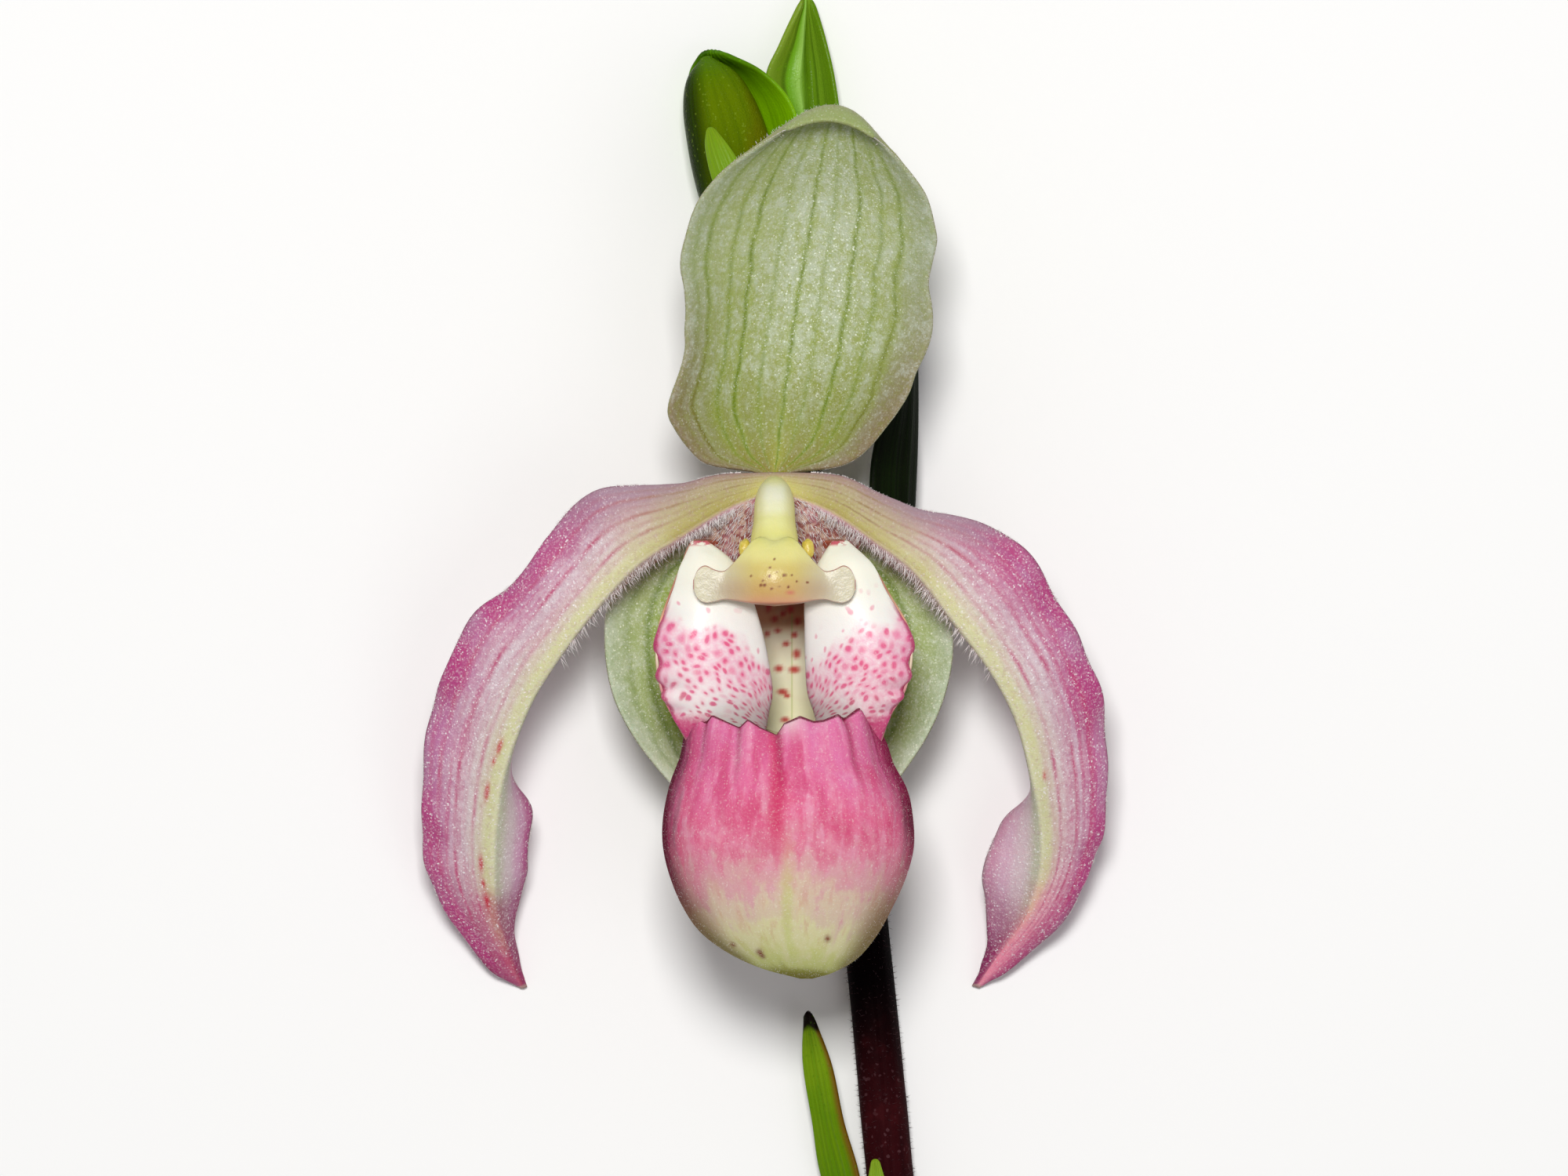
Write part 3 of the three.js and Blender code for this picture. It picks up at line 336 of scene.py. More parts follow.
# Dark red spots on the trough's floor: x, y, half width, half height.
TROUGH_SPOTS = [
    (0, -11.5, 0.35, 0.35), (-0.6, -10.4, 0.3, 0.5), (1.5, -10.6, 0.4, 0.4), (2.2, -11.7, 0.35, 0.4),
    (0.8, -11, 0.3, 0.3), (0.3, -12.6, 0.34, 0.26), (-0.7, -12.9, 0.25, 0.35), (1.9, -13, 0.36, 0.32),
    (1.1, -13.85, 0.38, 0.28), (2.1, -14.8, 0.4, 0.5), (0.4, -16.2, 0.46, 0.36),
    (1.9, -16.3, 0.6, 0.38), (0.75, -18.4, 0.56, 0.32), (1.2, -18.8, 0.32, 0.24),
    (1, -21.1, 0.46, 0.3),
]
# Dark red dots on the shield: x, y, half width, half height.
SHIELD_DOTS = [
    (-1.24, -8.36, 0.16, 0.16), (-0.88, -8.36, 0.15, 0.15), (-0.5, -7.5, 0.14, 0.17),
    (-0.47, -6.7, 0.12, 0.12), (0.95, -7.42, 0.16, 0.18), (1.59, -7.42, 0.1, 0.12),
    (1.31, -8.53, 0.14, 0.14), (0.4, -8.49, 0.1, 0.12), (-0.25, -8.7, 0.1, 0.12),
    (-1.03, -7.95, 0.11, 0.13), (0, -5.9, 0.1, 0.11), (3.1, -8.1, 0.12, 0.12),
    (-2.2, -7.5, 0.12, 0.11), (0.15, -7.15, 0.1, 0.12), (2.1, -8, 0.1, 0.12),
]
# Small scars near the pouch's toe, in the same way.
POUCH_SCARS = [
    (-3.9, -42.2, 0.22, 0.22), (-1.4, -42.9, 0.3, 0.3), (-1.1, -43.3, 0.22, 0.22),
    (5, -41.6, 0.3, 0.3),
]
SCARS_ABOVE = 4  # z: not on the pouch's back
# The foot of the slit between the side lobes, on each side: the middle that spots fan out from.
LOBE_FANS = {-1: (0.6, -22.6), 1: (2.4, -22.4)}
# Tones across floral bract 3, whose left part is folded up: a painted highlight along its ridge (0.33)
# and painted shade in the creases beside it (0.18 and 0.56).
FOLD_BANDS = [
    (0, 124, 150, 48), (0.12, 104, 132, 26), (0.18, 62, 94, 4), (0.22, 104, 164, 26),
    (0.33, 156, 202, 96), (0.44, 130, 178, 50), (0.56, 72, 112, 4), (0.7, 120, 160, 36),
    (1, 82, 122, 8),
]

# Steps across and along each sheet.
DORSAL_GRID = (110, 140)
SYNSEPAL_GRID = (110, 120)
PETAL_GRID = (100, 200)
LOBE_GRID = (84, 112)
TROUGH_GRID = (84, 104)
CLAW_GRID = (40, 40)
BRACT_GRID = (48, 84)
SHIELD_GRID = (130, 60)
STEM_SIDES = 40
STEM_ROWS = 300
OVARY_SIDES = 60
OVARY_ROWS = 120
ANTHER_SIDES = 28
ANTHER_ROWS = 26
NECK_SIDES = 48
NECK_ROWS = 70
CUP_ROWS = 90
CUP_FRONT = 8  # steps between two of the rim's points
CUP_BACK = 70

# Fine relief. A groove's width is a share of its blade's.
DORSAL_GROOVE_DEPTH = 0.02
DORSAL_GROOVE_WIDTH = 0.02
DORSAL_UNEVENNESS = 0.12
SYNSEPAL_GROOVE_DEPTH = 0.04
SYNSEPAL_GROOVE_WIDTH = 0.014
SYNSEPAL_UNEVENNESS = 0.1
PETAL_GROOVE_DEPTH = 0.035
PETAL_GROOVE_WIDTH = 0.013
PETAL_UNEVENNESS = 0.2
PETAL_CRINKLES = 12
CRINKLE_HEIGHT = 0.2
CUP_UNEVENNESS = 0.1
ANTHER_UNEVENNESS = 0.05
BRACT_RIBS = 7
BRACT_RIB_HEIGHT = 0.04
BRACT_UNEVENNESS = 0.08
FOLD_HEIGHT = 0.9
FOLD_FURROW_DEPTH = 0.4
SEAM_DEPTH = 0.16
STEM_FURROWS = 5
STEM_FURROW_DEPTH = 0.05
STEM_UNEVENNESS = 0.04
CUT_RISE = 0.25
CUT_RINGS = 8
CUT_UNEVENNESS = 0.12

# Hairs: widths, and shortest and longest length.
FINE_HAIR = 0.018
THROAT_HAIR = 0.04
FRINGE_HAIR = 0.036
PETAL_HAIR = 0.034
POUCH_HAIR = 0.014
STALK_HAIR_LENGTHS = (0.25, 0.6)
MARGIN_HAIR_LENGTHS = (0.08, 0.2)
BACK_HAIR_LENGTHS = (0.2, 0.4)
PETAL_MARGIN_LENGTHS = (0.12, 0.26)
THROAT_HAIR_LENGTHS = (0.8, 1.5)
POUCH_HAIR_LENGTHS = (0.12, 0.28)
HAIR_ROOT = 0.03  # how deep hairs sit in a stalk

anther_low, anther_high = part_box("anther_left")
# Where the bloom's base lies in the frame, in millimetres.
BASE = np.array((anther_low + anther_high) / 2) * 1000 - np.array(ANTHERS["anther_left"])


def place(points):
    """Points in millimetres from the bloom's base, as metres in the frame."""
    return (np.asarray(points, float) + BASE) / 1000


# ---- Camera, light and floor ----

VIEW_CENTRE = (0.9, -8.625)  # the middle of the view
VIEW_WIDTH = 148.4
VIEW_HEIGHT = 1800.0
SENSOR = 36.0
LIGHT_AIM = (0, -8, -4)
WORLD_STRENGTH = 0.26
FLOOR_HALF = 6.0  # metres


def add_object(name, data):
    made = bpy.data.objects.new(name, data)
    bpy.context.scene.collection.objects.link(made)
    return made


def make_camera():
    data = bpy.data.cameras.new("camera")
    data.sensor_width = SENSOR
    data.lens = SENSOR * VIEW_HEIGHT / VIEW_WIDTH
    data.clip_start = 0.05
    data.clip_end = 20
    camera = add_object("camera", data)
    camera.location = place((*VIEW_CENTRE, VIEW_HEIGHT))
    bpy.context.scene.camera = camera


def area_light(name, at, size, power, colour):
    """A square soft light that faces the bloom. at is in millimetres from the bloom's base."""
    data = bpy.data.lights.new(name, "AREA")
    data.size = size / 1000
    data.energy = power
    data.color = colour
    light = add_object(name, data)
    light.location = place(at)
    light.rotation_mode = "QUATERNION"
    light.rotation_quaternion = Vector(place(LIGHT_AIM) - place(at)).to_track_quat("-Z", "Y")
    light.visible_camera = False


def make_stage():
    area_light("key", (-30, 190, 860), 190, 5.9, (1.0, 0.99, 0.97))
    area_light("fill", (300, -240, 760), 420, 0.5, (0.95, 0.97, 1.0))
    world = bpy.data.worlds.new("studio")
    world.use_nodes = True
    background = world.node_tree.nodes["Background"]
    background.inputs["Color"].default_value = (1, 1, 1, 1)
    background.inputs["Strength"].default_value = WORLD_STRENGTH
    bpy.context.scene.world = world
    bpy.context.scene.view_settings.view_transform = "Standard"

    mesh = bpy.data.meshes.new("floor")
    signs = ((-1, -1), (1, -1), (1, 1), (-1, 1))
    mesh.from_pydata([(x * FLOOR_HALF, y * FLOOR_HALF, 0) for x, y in signs], [], [(0, 1, 2, 3)])
    shade = Shade("floor")
    shade.base = tone(251, 251, 251)
    mesh.materials.append(shade.done(0.9))
    floor = add_object("floor", mesh)


# ---- Materials ----


def tone(*screen):
    """A colour given as red, green and blue from 0 to 255 on a screen, in Blender's linear values."""
    shares = [value / 255 for value in screen]
    return (*(x / 12.92 if x <= 0.04045 else ((x + 0.055) / 1.055) ** 2.4 for x in shares), 1.0)


class Value:
    """What a node works out. Reckoning with it adds the nodes that do so in the material."""

    def __init__(self, shade, socket):
        self.shade = shade
        self.socket = socket

    def __add__(self, other):
        return self.shade.math("ADD", self, other)

    def __sub__(self, other):
        return self.shade.math("SUBTRACT", self, other)

    def __rsub__(self, other):
        return self.shade.math("SUBTRACT", other, self)

    def __mul__(self, other):
        return self.shade.math("MULTIPLY", self, other)

    def __abs__(self):
        return self.shade.math("ABSOLUTE", self)

    __radd__ = __add__
    __rmul__ = __mul__

    def step(self, low, high):
        """0 below low, 1 above high and smooth between; falls where low is above high."""
        inputs = {"Value": self, "From Min": low, "From Max": high}
        return self.shade.value("MapRange", "Result", inputs, interpolation_type="SMOOTHSTEP")

    def near(self, centre, width):
        """1 at centre, falling smoothly to 0 at a distance of width."""
        return abs(self - centre).step(width, 0.0)


class Shade:
    """A material's node graph. base is its colour so far, which paint adds to."""

    def __init__(self, name):
        self.material = bpy.data.materials.new(name)
        self.material.use_nodes = True
        self.tree = self.material.node_tree
        self.tree.nodes.clear()
        self.shader = self.tree.nodes.new("ShaderNodeBsdfPrincipled")
        output = self.tree.nodes.new("ShaderNodeOutputMaterial")
        self.tree.links.new(self.shader.outputs["BSDF"], output.inputs["Surface"])
        self.base = None

    def node(self, kind, inputs=None, **settings):
        made = self.tree.nodes.new("ShaderNode" + kind)
        for key, value in settings.items():
            setattr(made, key, value)
        for key, value in (inputs or {}).items():
            self.join(value, made.inputs[key])
        return made

    def value(self, kind, output, inputs=None, **settings):
        """One output of a new node."""
        return Value(self, self.node(kind, inputs, **settings).outputs[output])

    def parts(self, kind, whole):
        """The three numbers that a place or a colour is made of."""
        return [Value(self, part) for part in self.node(kind, {0: whole}).outputs]

    def join(self, value, socket):
        if isinstance(value, Value):
            self.tree.links.new(value.socket, socket)
        else:
            socket.default_value = value

    def set(self, **values):
        """Uniform values of the shader, by its sockets' names with _ for a space."""
        for key, value in values.items():
            self.shader.inputs[key.replace("_", " ")].default_value = value

    def grid(self):
        """The place on the piece's own grid: across and along."""
        at = self.value("UVMap", "UV", uv_map="grid")
        return self.parts("SeparateXYZ", at)[:2]

    def spot(self):
        """The place in space, in millimetres from the frame's origin."""
        at = self.value("TexCoord", "Object")
        return self.value("VectorMath", "Vector", {0: at, 3: 1000.0}, operation="SCALE")

    def from_base(self):
        """x and y in millimetres from the bloom's base."""
        inputs = {0: self.spot(), 1: tuple(BASE)}
        moved = self.value("VectorMath", "Vector", inputs, operation="SUBTRACT")
        return self.parts("SeparateXYZ", moved)[:2]

    def attribute(self, name):
        return self.value("Attribute", "Fac", attribute_name=name)

    def math(self, operation, a, b=0.0):
        return self.value("Math", "Value", {0: a, 1: b}, operation=operation)

    def vector(self, at):
        """A place to look a pattern up at, which may be given as a tuple of its numbers."""
        if isinstance(at, tuple):
            return self.value("CombineXYZ", "Vector", dict(enumerate(at)))
        return at

    def noise(self, at, scale=1.0, detail=2.0, roughness=0.5):
        inputs = {"Vector": self.vector(at), "Scale": scale, "Detail": detail, "Roughness": roughness}
        return self.value("TexNoise", "Fac", inputs)

    def cells(self, at, scale, randomness=1.0, dimensions="3D"):
        """Voronoi cells: distance from the cell's middle, and two random values for the cell."""
        inputs = {"Vector": self.vector(at), "Scale": scale, "Randomness": randomness}
        made = self.node("TexVoronoi", inputs, voronoi_dimensions=dimensions)
        drawn = self.parts("SeparateColor", Value(self, made.outputs["Color"]))
        return Value(self, made.outputs["Distance"]), drawn[0], drawn[1]

    def ramp(self, value, stops, interpolation="EASE"):
        """Colours through stops of position, red, green and blue, or of position and grey."""
        made = self.node("ValToRGB", {0: value})
        made.color_ramp.interpolation = interpolation
        elements = made.color_ramp.elements
        while len(elements) < len(stops):
            elements.new(0.5)
        for element, (position, *shade) in zip(elements, stops):
            element.position = position
            element.color = tone(*shade) if len(shade) == 3 else (*shade * 3, 1.0)
        return Value(self, made.outputs["Color"])

    def mix(self, share, a, b):
        """From a to b, each of which is a value or red, green and blue."""
        ends = [tone(*end) if isinstance(end, tuple) else end for end in (a, b)]
        return self.value("Mix", 2, {0: share, 6: ends[0], 7: ends[1]}, data_type="RGBA")

    def paint(self, share, *colour):
        """Covers a share of the base colour with red, green and blue, or with another value."""
        self.base = self.mix(share, self.base, colour if len(colour) == 3 else colour[0])

    def veins(self, across, table, width):
        """Bright lines at the table's places across a blade."""
        stops = [(0.0, 0.0)]
        for centre, strength in table:
            stops += [(centre - width, 0.0), (centre, strength), (centre + width, 0.0)]
        # A ramp takes 32 stops: both margins and ten veins. An eleventh is a groove only.
        return self.ramp(across, stops[:31] + [(1.0, 0.0)], "LINEAR")

    def bump(self, height, distance, strength, under=None):
        """Relief of the given height in millimetres; under is a relief that this one lies on."""
        inputs = {"Height": height, "Distance": distance / 1000, "Strength": strength}
        if under is not None:
            inputs["Normal"] = under
        return self.value("Bump", "Normal", inputs)

    def paint_glints(self, amount, size, glint=(250, 250, 240)):
        """Pale grains painted into the colour as the glitter of a petal's bead-like cells (painted
        glints), and the cells' height.
        """
        height, first, second = self.cells(self.spot(), 1 / size)
        self.paint((first.step(0.55, 1.0) * 0.28 + second.step(0.93, 0.98) * 0.75) * amount, *glint)
        return height

    def soften(self, weight=0.12, radius=(1.0, 0.5, 0.35), scale=0.0012):
        """Light that spreads inside thin flesh."""
        self.set(Subsurface_Weight=weight, Subsurface_Radius=radius, Subsurface_Scale=scale)

    def done(self, roughness, specular=0.5, relief=None):
        """The finished material, in its painted colour."""
        self.join(self.base, self.shader.inputs["Base Color"])
        if relief is not None:
            self.join(relief, self.shader.inputs["Normal"])
        self.set(Roughness=roughness, Specular_IOR_Level=specular)
        return self.material

    def done_blade(self, amount, size, glint, speckle):
        """The finished material of a sepal or petal, with its painted glints and relief."""
        grains = self.paint_glints(amount, size, glint)
        self.soften()
        return self.done(0.5, 0.25, self.bump(grains, 0.05, 0.6, self.bump(speckle, 0.1, 0.5)))


def dorsal_material():
    s = Shade("dorsal_sepal")
    u, v = s.grid()
    wobble = s.noise((u * 4, v * 13), 1, 3, 0.5) - 0.5
    across = u + wobble * 0.042
    patch = s.noise((u * 14, v * 20), 1, 5, 0.75)
    speckle = s.noise(s.spot(), 2, 4, 0.75)
    s.base = s.ramp(v, [
        (0, 140, 122, 34), (0.05, 134, 128, 46), (0.15, 136, 142, 66), (0.35, 154, 164, 96),
        (0.6, 168, 178, 120), (0.82, 158, 170, 110), (1, 144, 156, 92),
    ])
    margin = abs(u - 0.5).step(0.3, 0.5)
    s.paint(margin * 0.8, 158, 166, 138)
    warm = margin * v.step(0.55, 0.15)
    s.paint(warm * 0.95, 132, 112, 80)
    high = v.step(0.08, 0.32)
    middle = u.near(0.56, 0.46) * v.near(0.5, 0.5)
    cover = patch + speckle * 0.8 + middle * 0.14
    # Painted sheen: pale frosty patches, stronger up the blade.
    painted_sheen = cover.step(0.82, 1.2) * (0.15 + high * 0.42)
    s.paint(painted_sheen, 204, 212, 202)
    s.paint(cover.step(0.94, 0.72) * 0.26, 144, 160, 66)
    glow = u.near(0.5, 0.14) * v.step(0.2, 0)
    s.paint(glow * 0.45, 172, 180, 60)
    veins = s.veins(across, DORSAL_VEINS, 0.016)
    halo = s.veins(across, DORSAL_VEINS, 0.034) * v.step(0.99, 0.8)
    s.paint(halo * 0.45, 152, 172, 70)
    strength = v.step(0.99, 0.84) * (0.5 + patch.step(0.3, 0.6))
    strength = s.math("MAXIMUM", strength, v.step(0.45, 0.2))
    lines = veins * strength
    vein_tone = s.mix(warm, (108, 128, 16), (112, 70, 32))
    s.paint(lines * (0.9 - v * 0.5), vein_tone)
    front = 1 - s.attribute("back")
    # Painted shade on the inner face under the curled-over apex.
    tip = v.step(0.84, 0.93) * front
    s.paint(tip * 0.75, 82, 84, 30)
    crest = v.step(0.9, 0.97) * s.attribute("back")
    outer = s.mix(veins * 0.6, (150, 154, 104), (116, 84, 66))
    s.paint(s.attribute("back"), outer)
    s.paint(crest, 152, 166, 102)
    return s.done_blade(0.3 + middle * 0.7, 0.13, (240, 246, 232), speckle)


def synsepal_material():
    s = Shade("synsepal")
    u, v = s.grid()
    wobble = s.noise((u * 4, v * 12), 1, 4, 0.6) - 0.5
    across = u + wobble * 0.035
    patch = s.noise((u * 11, v * 13), 1, 5, 0.72)
    speckle = s.noise(s.spot(), 2, 4, 0.7)
    away = abs(u - 0.5)
    # Darker green in the middle, next to the lip: partly its own colour, partly painted shade.
    s.base = s.ramp(away, [
        (0, 132, 154, 44), (0.24, 142, 166, 48), (0.33, 152, 176, 70), (0.41, 170, 186, 124),
        (0.5, 176, 190, 158),
    ])
    low = v.step(0.55, 0.8)
    s.paint(low * 0.65, 232, 238, 214)
    cover = patch + speckle * 0.8
    # Painted sheen: pale frosty patches.
    s.paint(cover.step(0.84, 1.16) * 0.55, 216, 224, 208)
    s.paint(cover.step(0.9, 0.7) * 0.25, 132, 154, 64)
    veins = s.veins(across, SYNSEPAL_VEINS, 0.017)
    s.paint(veins * 0.85, 86, 116, 8)
    outer = s.mix(veins * 0.6, (146, 150, 102), (112, 78, 62))
    s.paint(s.attribute("back"), outer)
    return s.done_blade(0.75, 0.13, (240, 246, 226), speckle)


def petal_material():
    s = Shade("petal")
    u, v = s.grid()
    at = s.spot()
    x = s.from_base()[0]
    right = x.step(-1, 1)
    wobble = s.noise((u * 5, v * 15), 1, 4, 0.6) - 0.5
    across = u + wobble * 0.028
    patch = s.noise(at, 0.22, 3, 0.6)
    broad = s.noise((u * 2, v * 9, right), 1, 2)
    speckle = s.noise(at, 2, 4, 0.7)
    root = s.ramp(across, [
        (0, 154, 124, 118), (0.07, 168, 146, 128), (0.16, 178, 164, 124), (0.3, 178, 167, 112),
        (0.42, 180, 170, 98), (0.48, 178, 166, 92), (0.51, 206, 190, 140), (0.55, 240, 204, 206),
        (0.75, 236, 190, 200), (1, 196, 132, 154),
    ])
    middle = s.ramp(across, [
        (0, 146, 86, 122), (0.03, 184, 128, 164), (0.08, 192, 120, 164), (0.13, 196, 132, 168),
        (0.2, 204, 158, 182), (0.28, 210, 182, 192), (0.35, 214, 196, 192), (0.41, 214, 206, 180),
        (0.46, 214, 213, 162), (0.51, 222, 222, 180), (0.55, 190, 192, 166), (0.7, 212, 194, 198),
        (0.84, 212, 160, 192), (0.95, 186, 84, 142), (1, 122, 48, 88),
    ])
    end = s.ramp(across, [
        (0, 128, 40, 84), (0.1, 172, 66, 118), (0.3, 200, 96, 134), (0.42, 220, 112, 136),
        (0.5, 196, 86, 110), (0.56, 158, 54, 104), (1, 132, 38, 90),
    ])
    end = s.mix(across.near(0.36, 0.34) * (right * 0.9), end, (250, 152, 178))
    end = s.mix((1 - right) * 0.45, end, (146, 34, 90))
    uneven = patch - 0.5
    s.base = s.mix((v + uneven * 0.14).step(0.1, 0.34), root, middle)
    s.paint((v + uneven * 0.2).step(0.7, 0.9), end)
    body = v.step(0.2, 0.34) * v.step(0.98, 0.86)
    reach = 0.02 + broad.step(0.3, 0.7) * 0.17
    band = (across - reach).step(0.07, -0.05) * body
    band = band * (0.2 + broad.step(0.36, 0.6) * 0.8)
    s.paint(band * 0.88, 182, 48, 124)
    streaks = s.noise((across * 26, v * 4, right), 1, 2)
    span = across.near(0.18, 0.26)
    lower = span * (body * streaks.step(0.46, 0.64))
    s.paint(lower * 0.6, 196, 80, 134)
    fold = across.near(0.64, 0.14) * v.step(0.5, 0.36)
    s.paint(fold * 0.8, 248, 220, 224)
    blush_and_shade = across.near(0.7, 0.2) * v.step(0.24, 0.12)
    s.paint(blush_and_shade * 0.6, 214, 110, 150)
    wash = across.near(0.32, 0.16) * right * v.near(0.74, 0.24)
    s.paint(wash * 0.4, 214, 104, 140)
    sheen = across.near(0.28, 0.24) * (v.step(0.17, 0.32) * v.step(0.9, 0.66))
    cover = (patch + speckle * 0.8).step(0.74, 1.1)
    s.paint(sheen * cover * 0.5, 228, 216, 220)
    s.paint(speckle.step(0.5, 0.34) * 0.24, 176, 116, 146)
    grey = v.near(0.22, 0.15) * across.step(0.3, 0.03)
    s.paint(grey * 0.7, 164, 142, 156)
    stripes = s.noise((across * 19, v * 2.4), 1, 2)
    stripes = stripes.step(0.44, 0.6) * (across.near(0.14, 0.17) * right)
    s.paint(stripes * body * 0.6, 194, 52, 122)
    veins = s.veins(across, PETAL_VEINS, 0.02)
    lines = veins * (0.55 + (patch + wobble * 0.6).step(0.4, 0.66))
    line_tone = s.mix(v.step(0.12, 0.34), (150, 122, 80), (192, 74, 120))
    s.paint(lines * v.step(1, 0.85) * 0.62, line_tone)
    joint = v.step(0.075, 0) * u.near(0.42, 0.5)
    s.paint(joint * 0.7, 214, 208, 118)
    flap = across.step(0.56, 0.7) * right * v.step(0.9, 0.7)
    s.paint(flap * 0.45, 226, 196, 208)
    s.paint(s.attribute("marks"), 196, 30, 62)
    rim = abs(u - 0.5).step(0.489, 0.5)
    s.paint(rim * 0.55, 116, 60, 92)
    behind = s.mix(v.step(0.1, 0.5), (214, 168, 176), (190, 122, 160))
    s.paint(s.attribute("back"), s.mix(veins * 0.6, behind, (130, 54, 84)))
    hook = v.step(0.985, 0.995)
    s.paint(hook * 0.8, 176, 150, 140)
    return s.done_blade(0.2 + body * 0.65, 0.14, (248, 242, 244), speckle)


def cup_material():
    s = Shade("pouch")
    v = s.grid()[1]
    ring_x, ring_y = s.attribute("ring_x"), s.attribute("ring_y")
    # Turns from the front: a quarter turn to the left side is -0.25.
    offset = s.math("ARCTAN2", ring_x * -1, ring_y) * (0.5 / math.pi)

    def around(count, rows):
        # A place for noise that closes on itself round the pouch.
        return ring_x * count, ring_y * count, v * rows

    calm = v.step(0.97, 0.72)  # the pattern runs together at the toe
    streak = 0.5 + (s.noise(around(8, 5.5), 1, 4, 0.6) - 0.5) * calm
    broad = s.noise(around(3, 4.5), 1, 3)
    cloud = 0.5 + (s.noise(around(4.2, 9), 1, 4, 0.6) - 0.5) * calm
    fine = s.noise(s.spot(), 1.4, 3, 0.6)
    narrowing = v.step(1, 0.8)
    away = abs(offset) * (0.25 + narrowing * 0.75)
    to_right = offset.step(-0.02, 0.04)
    height = v + ((cloud - 0.5) * 0.46 + (streak - 0.5) * 0.28)
    droop = to_right * 0.25 - 0.55
    height = height + s.math("MAXIMUM", away - 0.03, 0) * droop
    # Pink at the rim to olive at the toe; the toe's dark olive end is partly painted shade.
    s.base = s.ramp(height, [
        (0, 224, 122, 170), (0.14, 224, 112, 156), (0.28, 222, 106, 144), (0.38, 218, 124, 150),
        (0.48, 216, 162, 166), (0.57, 218, 196, 172), (0.68, 222, 216, 168), (0.84, 208, 211, 136),
        (0.92, 166, 168, 82), (1, 134, 136, 54),
    ])
    pale = (streak + fine * 0.4).step(0.64, 0.92) * v.step(0.7, 0.3)
    s.paint(pale * 0.42, 234, 180, 204)
    deep = (broad + streak * 0.7).step(0.92, 0.66) * v.step(0.56, 0.3)
    s.paint(deep * 0.6, 200, 60, 108)
    flecks = (streak + cloud * 0.6).step(0.8, 1) * v.near(0.58, 0.26)
    s.paint(flecks * 0.45, 204, 112, 128)
    milky = (cloud + streak * 0.5).step(0.74, 0.5) * v.near(0.42, 0.24)
    s.paint(milky * 0.4, 236, 200, 206)
    seam = (offset + (fine - 0.5) * 0.012).near(-0.016, 0.02)
    s.paint(seam * v.step(0.46, 0.3) * 0.75, 200, 44, 92)
    keel = (offset + (fine - 0.5) * 0.014).near(0, 0.014)
    keel = keel * v.near(0.62, 0.34)
    s.paint(keel * 0.5, 192, 204, 98)
    # Brownish low flanks: their own colour, darkened as painted shade where they turn away.
    low_side_colour_and_shade = away.step(0.1, 0.2) * v.near(0.62, 0.26)
    s.paint(low_side_colour_and_shade * 0.75, 140, 96, 80)
    # Painted shade under the lower flanks.
    under = away.step(0.1, 0.19) * v.step(0.5, 0.74)
    s.paint(under * 0.75, 116, 98, 50)
    # Painted shade along the toe.
    s.paint(v.step(0.84, 0.96) * 0.7, 122, 112, 52)
    # Deep maroon along both flanks: their own colour, darkened by painted shade where they turn away.
    ragged = away + (streak - 0.5) * 0.07
    flank_shade_reach = to_right * 0.16
    flank_maroon_and_shade = ragged.step(0.155, 0.215) * (v + flank_shade_reach).step(0.74, 0.44)
    s.paint(flank_maroon_and_shade * 0.94, 92, 12, 42)
    behind = away.step(0.25, 0.36)
    right = (offset + (streak - 0.5) * 0.14).step(0.1, 0.18)
    right = right * v.step(0.36, 0.1) * (1 - behind)
    s.paint(right * 0.6, 158, 30, 84)
    shaded = s.mix(cloud.step(0.4, 0.6), (150, 84, 96), (190, 150, 124))
    s.paint(behind * 0.85, shaded)
    notch = offset.near(0.012, 0.032) * v.step(0.085, 0)
    s.paint(notch * 0.8, 242, 214, 222)
    s.paint(s.attribute("pleat"), 140, 20, 66)
    s.paint(v.step(0.016, 0.006) * 0.9, 106, 20, 46)
    s.paint(s.attribute("marks"), 128, 60, 48)
    inside = s.ramp(s.noise(s.spot(), 0.8), [(0.4, 222, 214, 168), (0.62, 176, 60, 70)])
    s.paint(s.attribute("back"), inside)
    grains = s.paint_glints(0.25, 0.13)
    s.soften(0.08)
    return s.done(0.4, 0, s.bump(grains, 0.03, 0.4, s.bump(streak, 0.06, 0.4)))


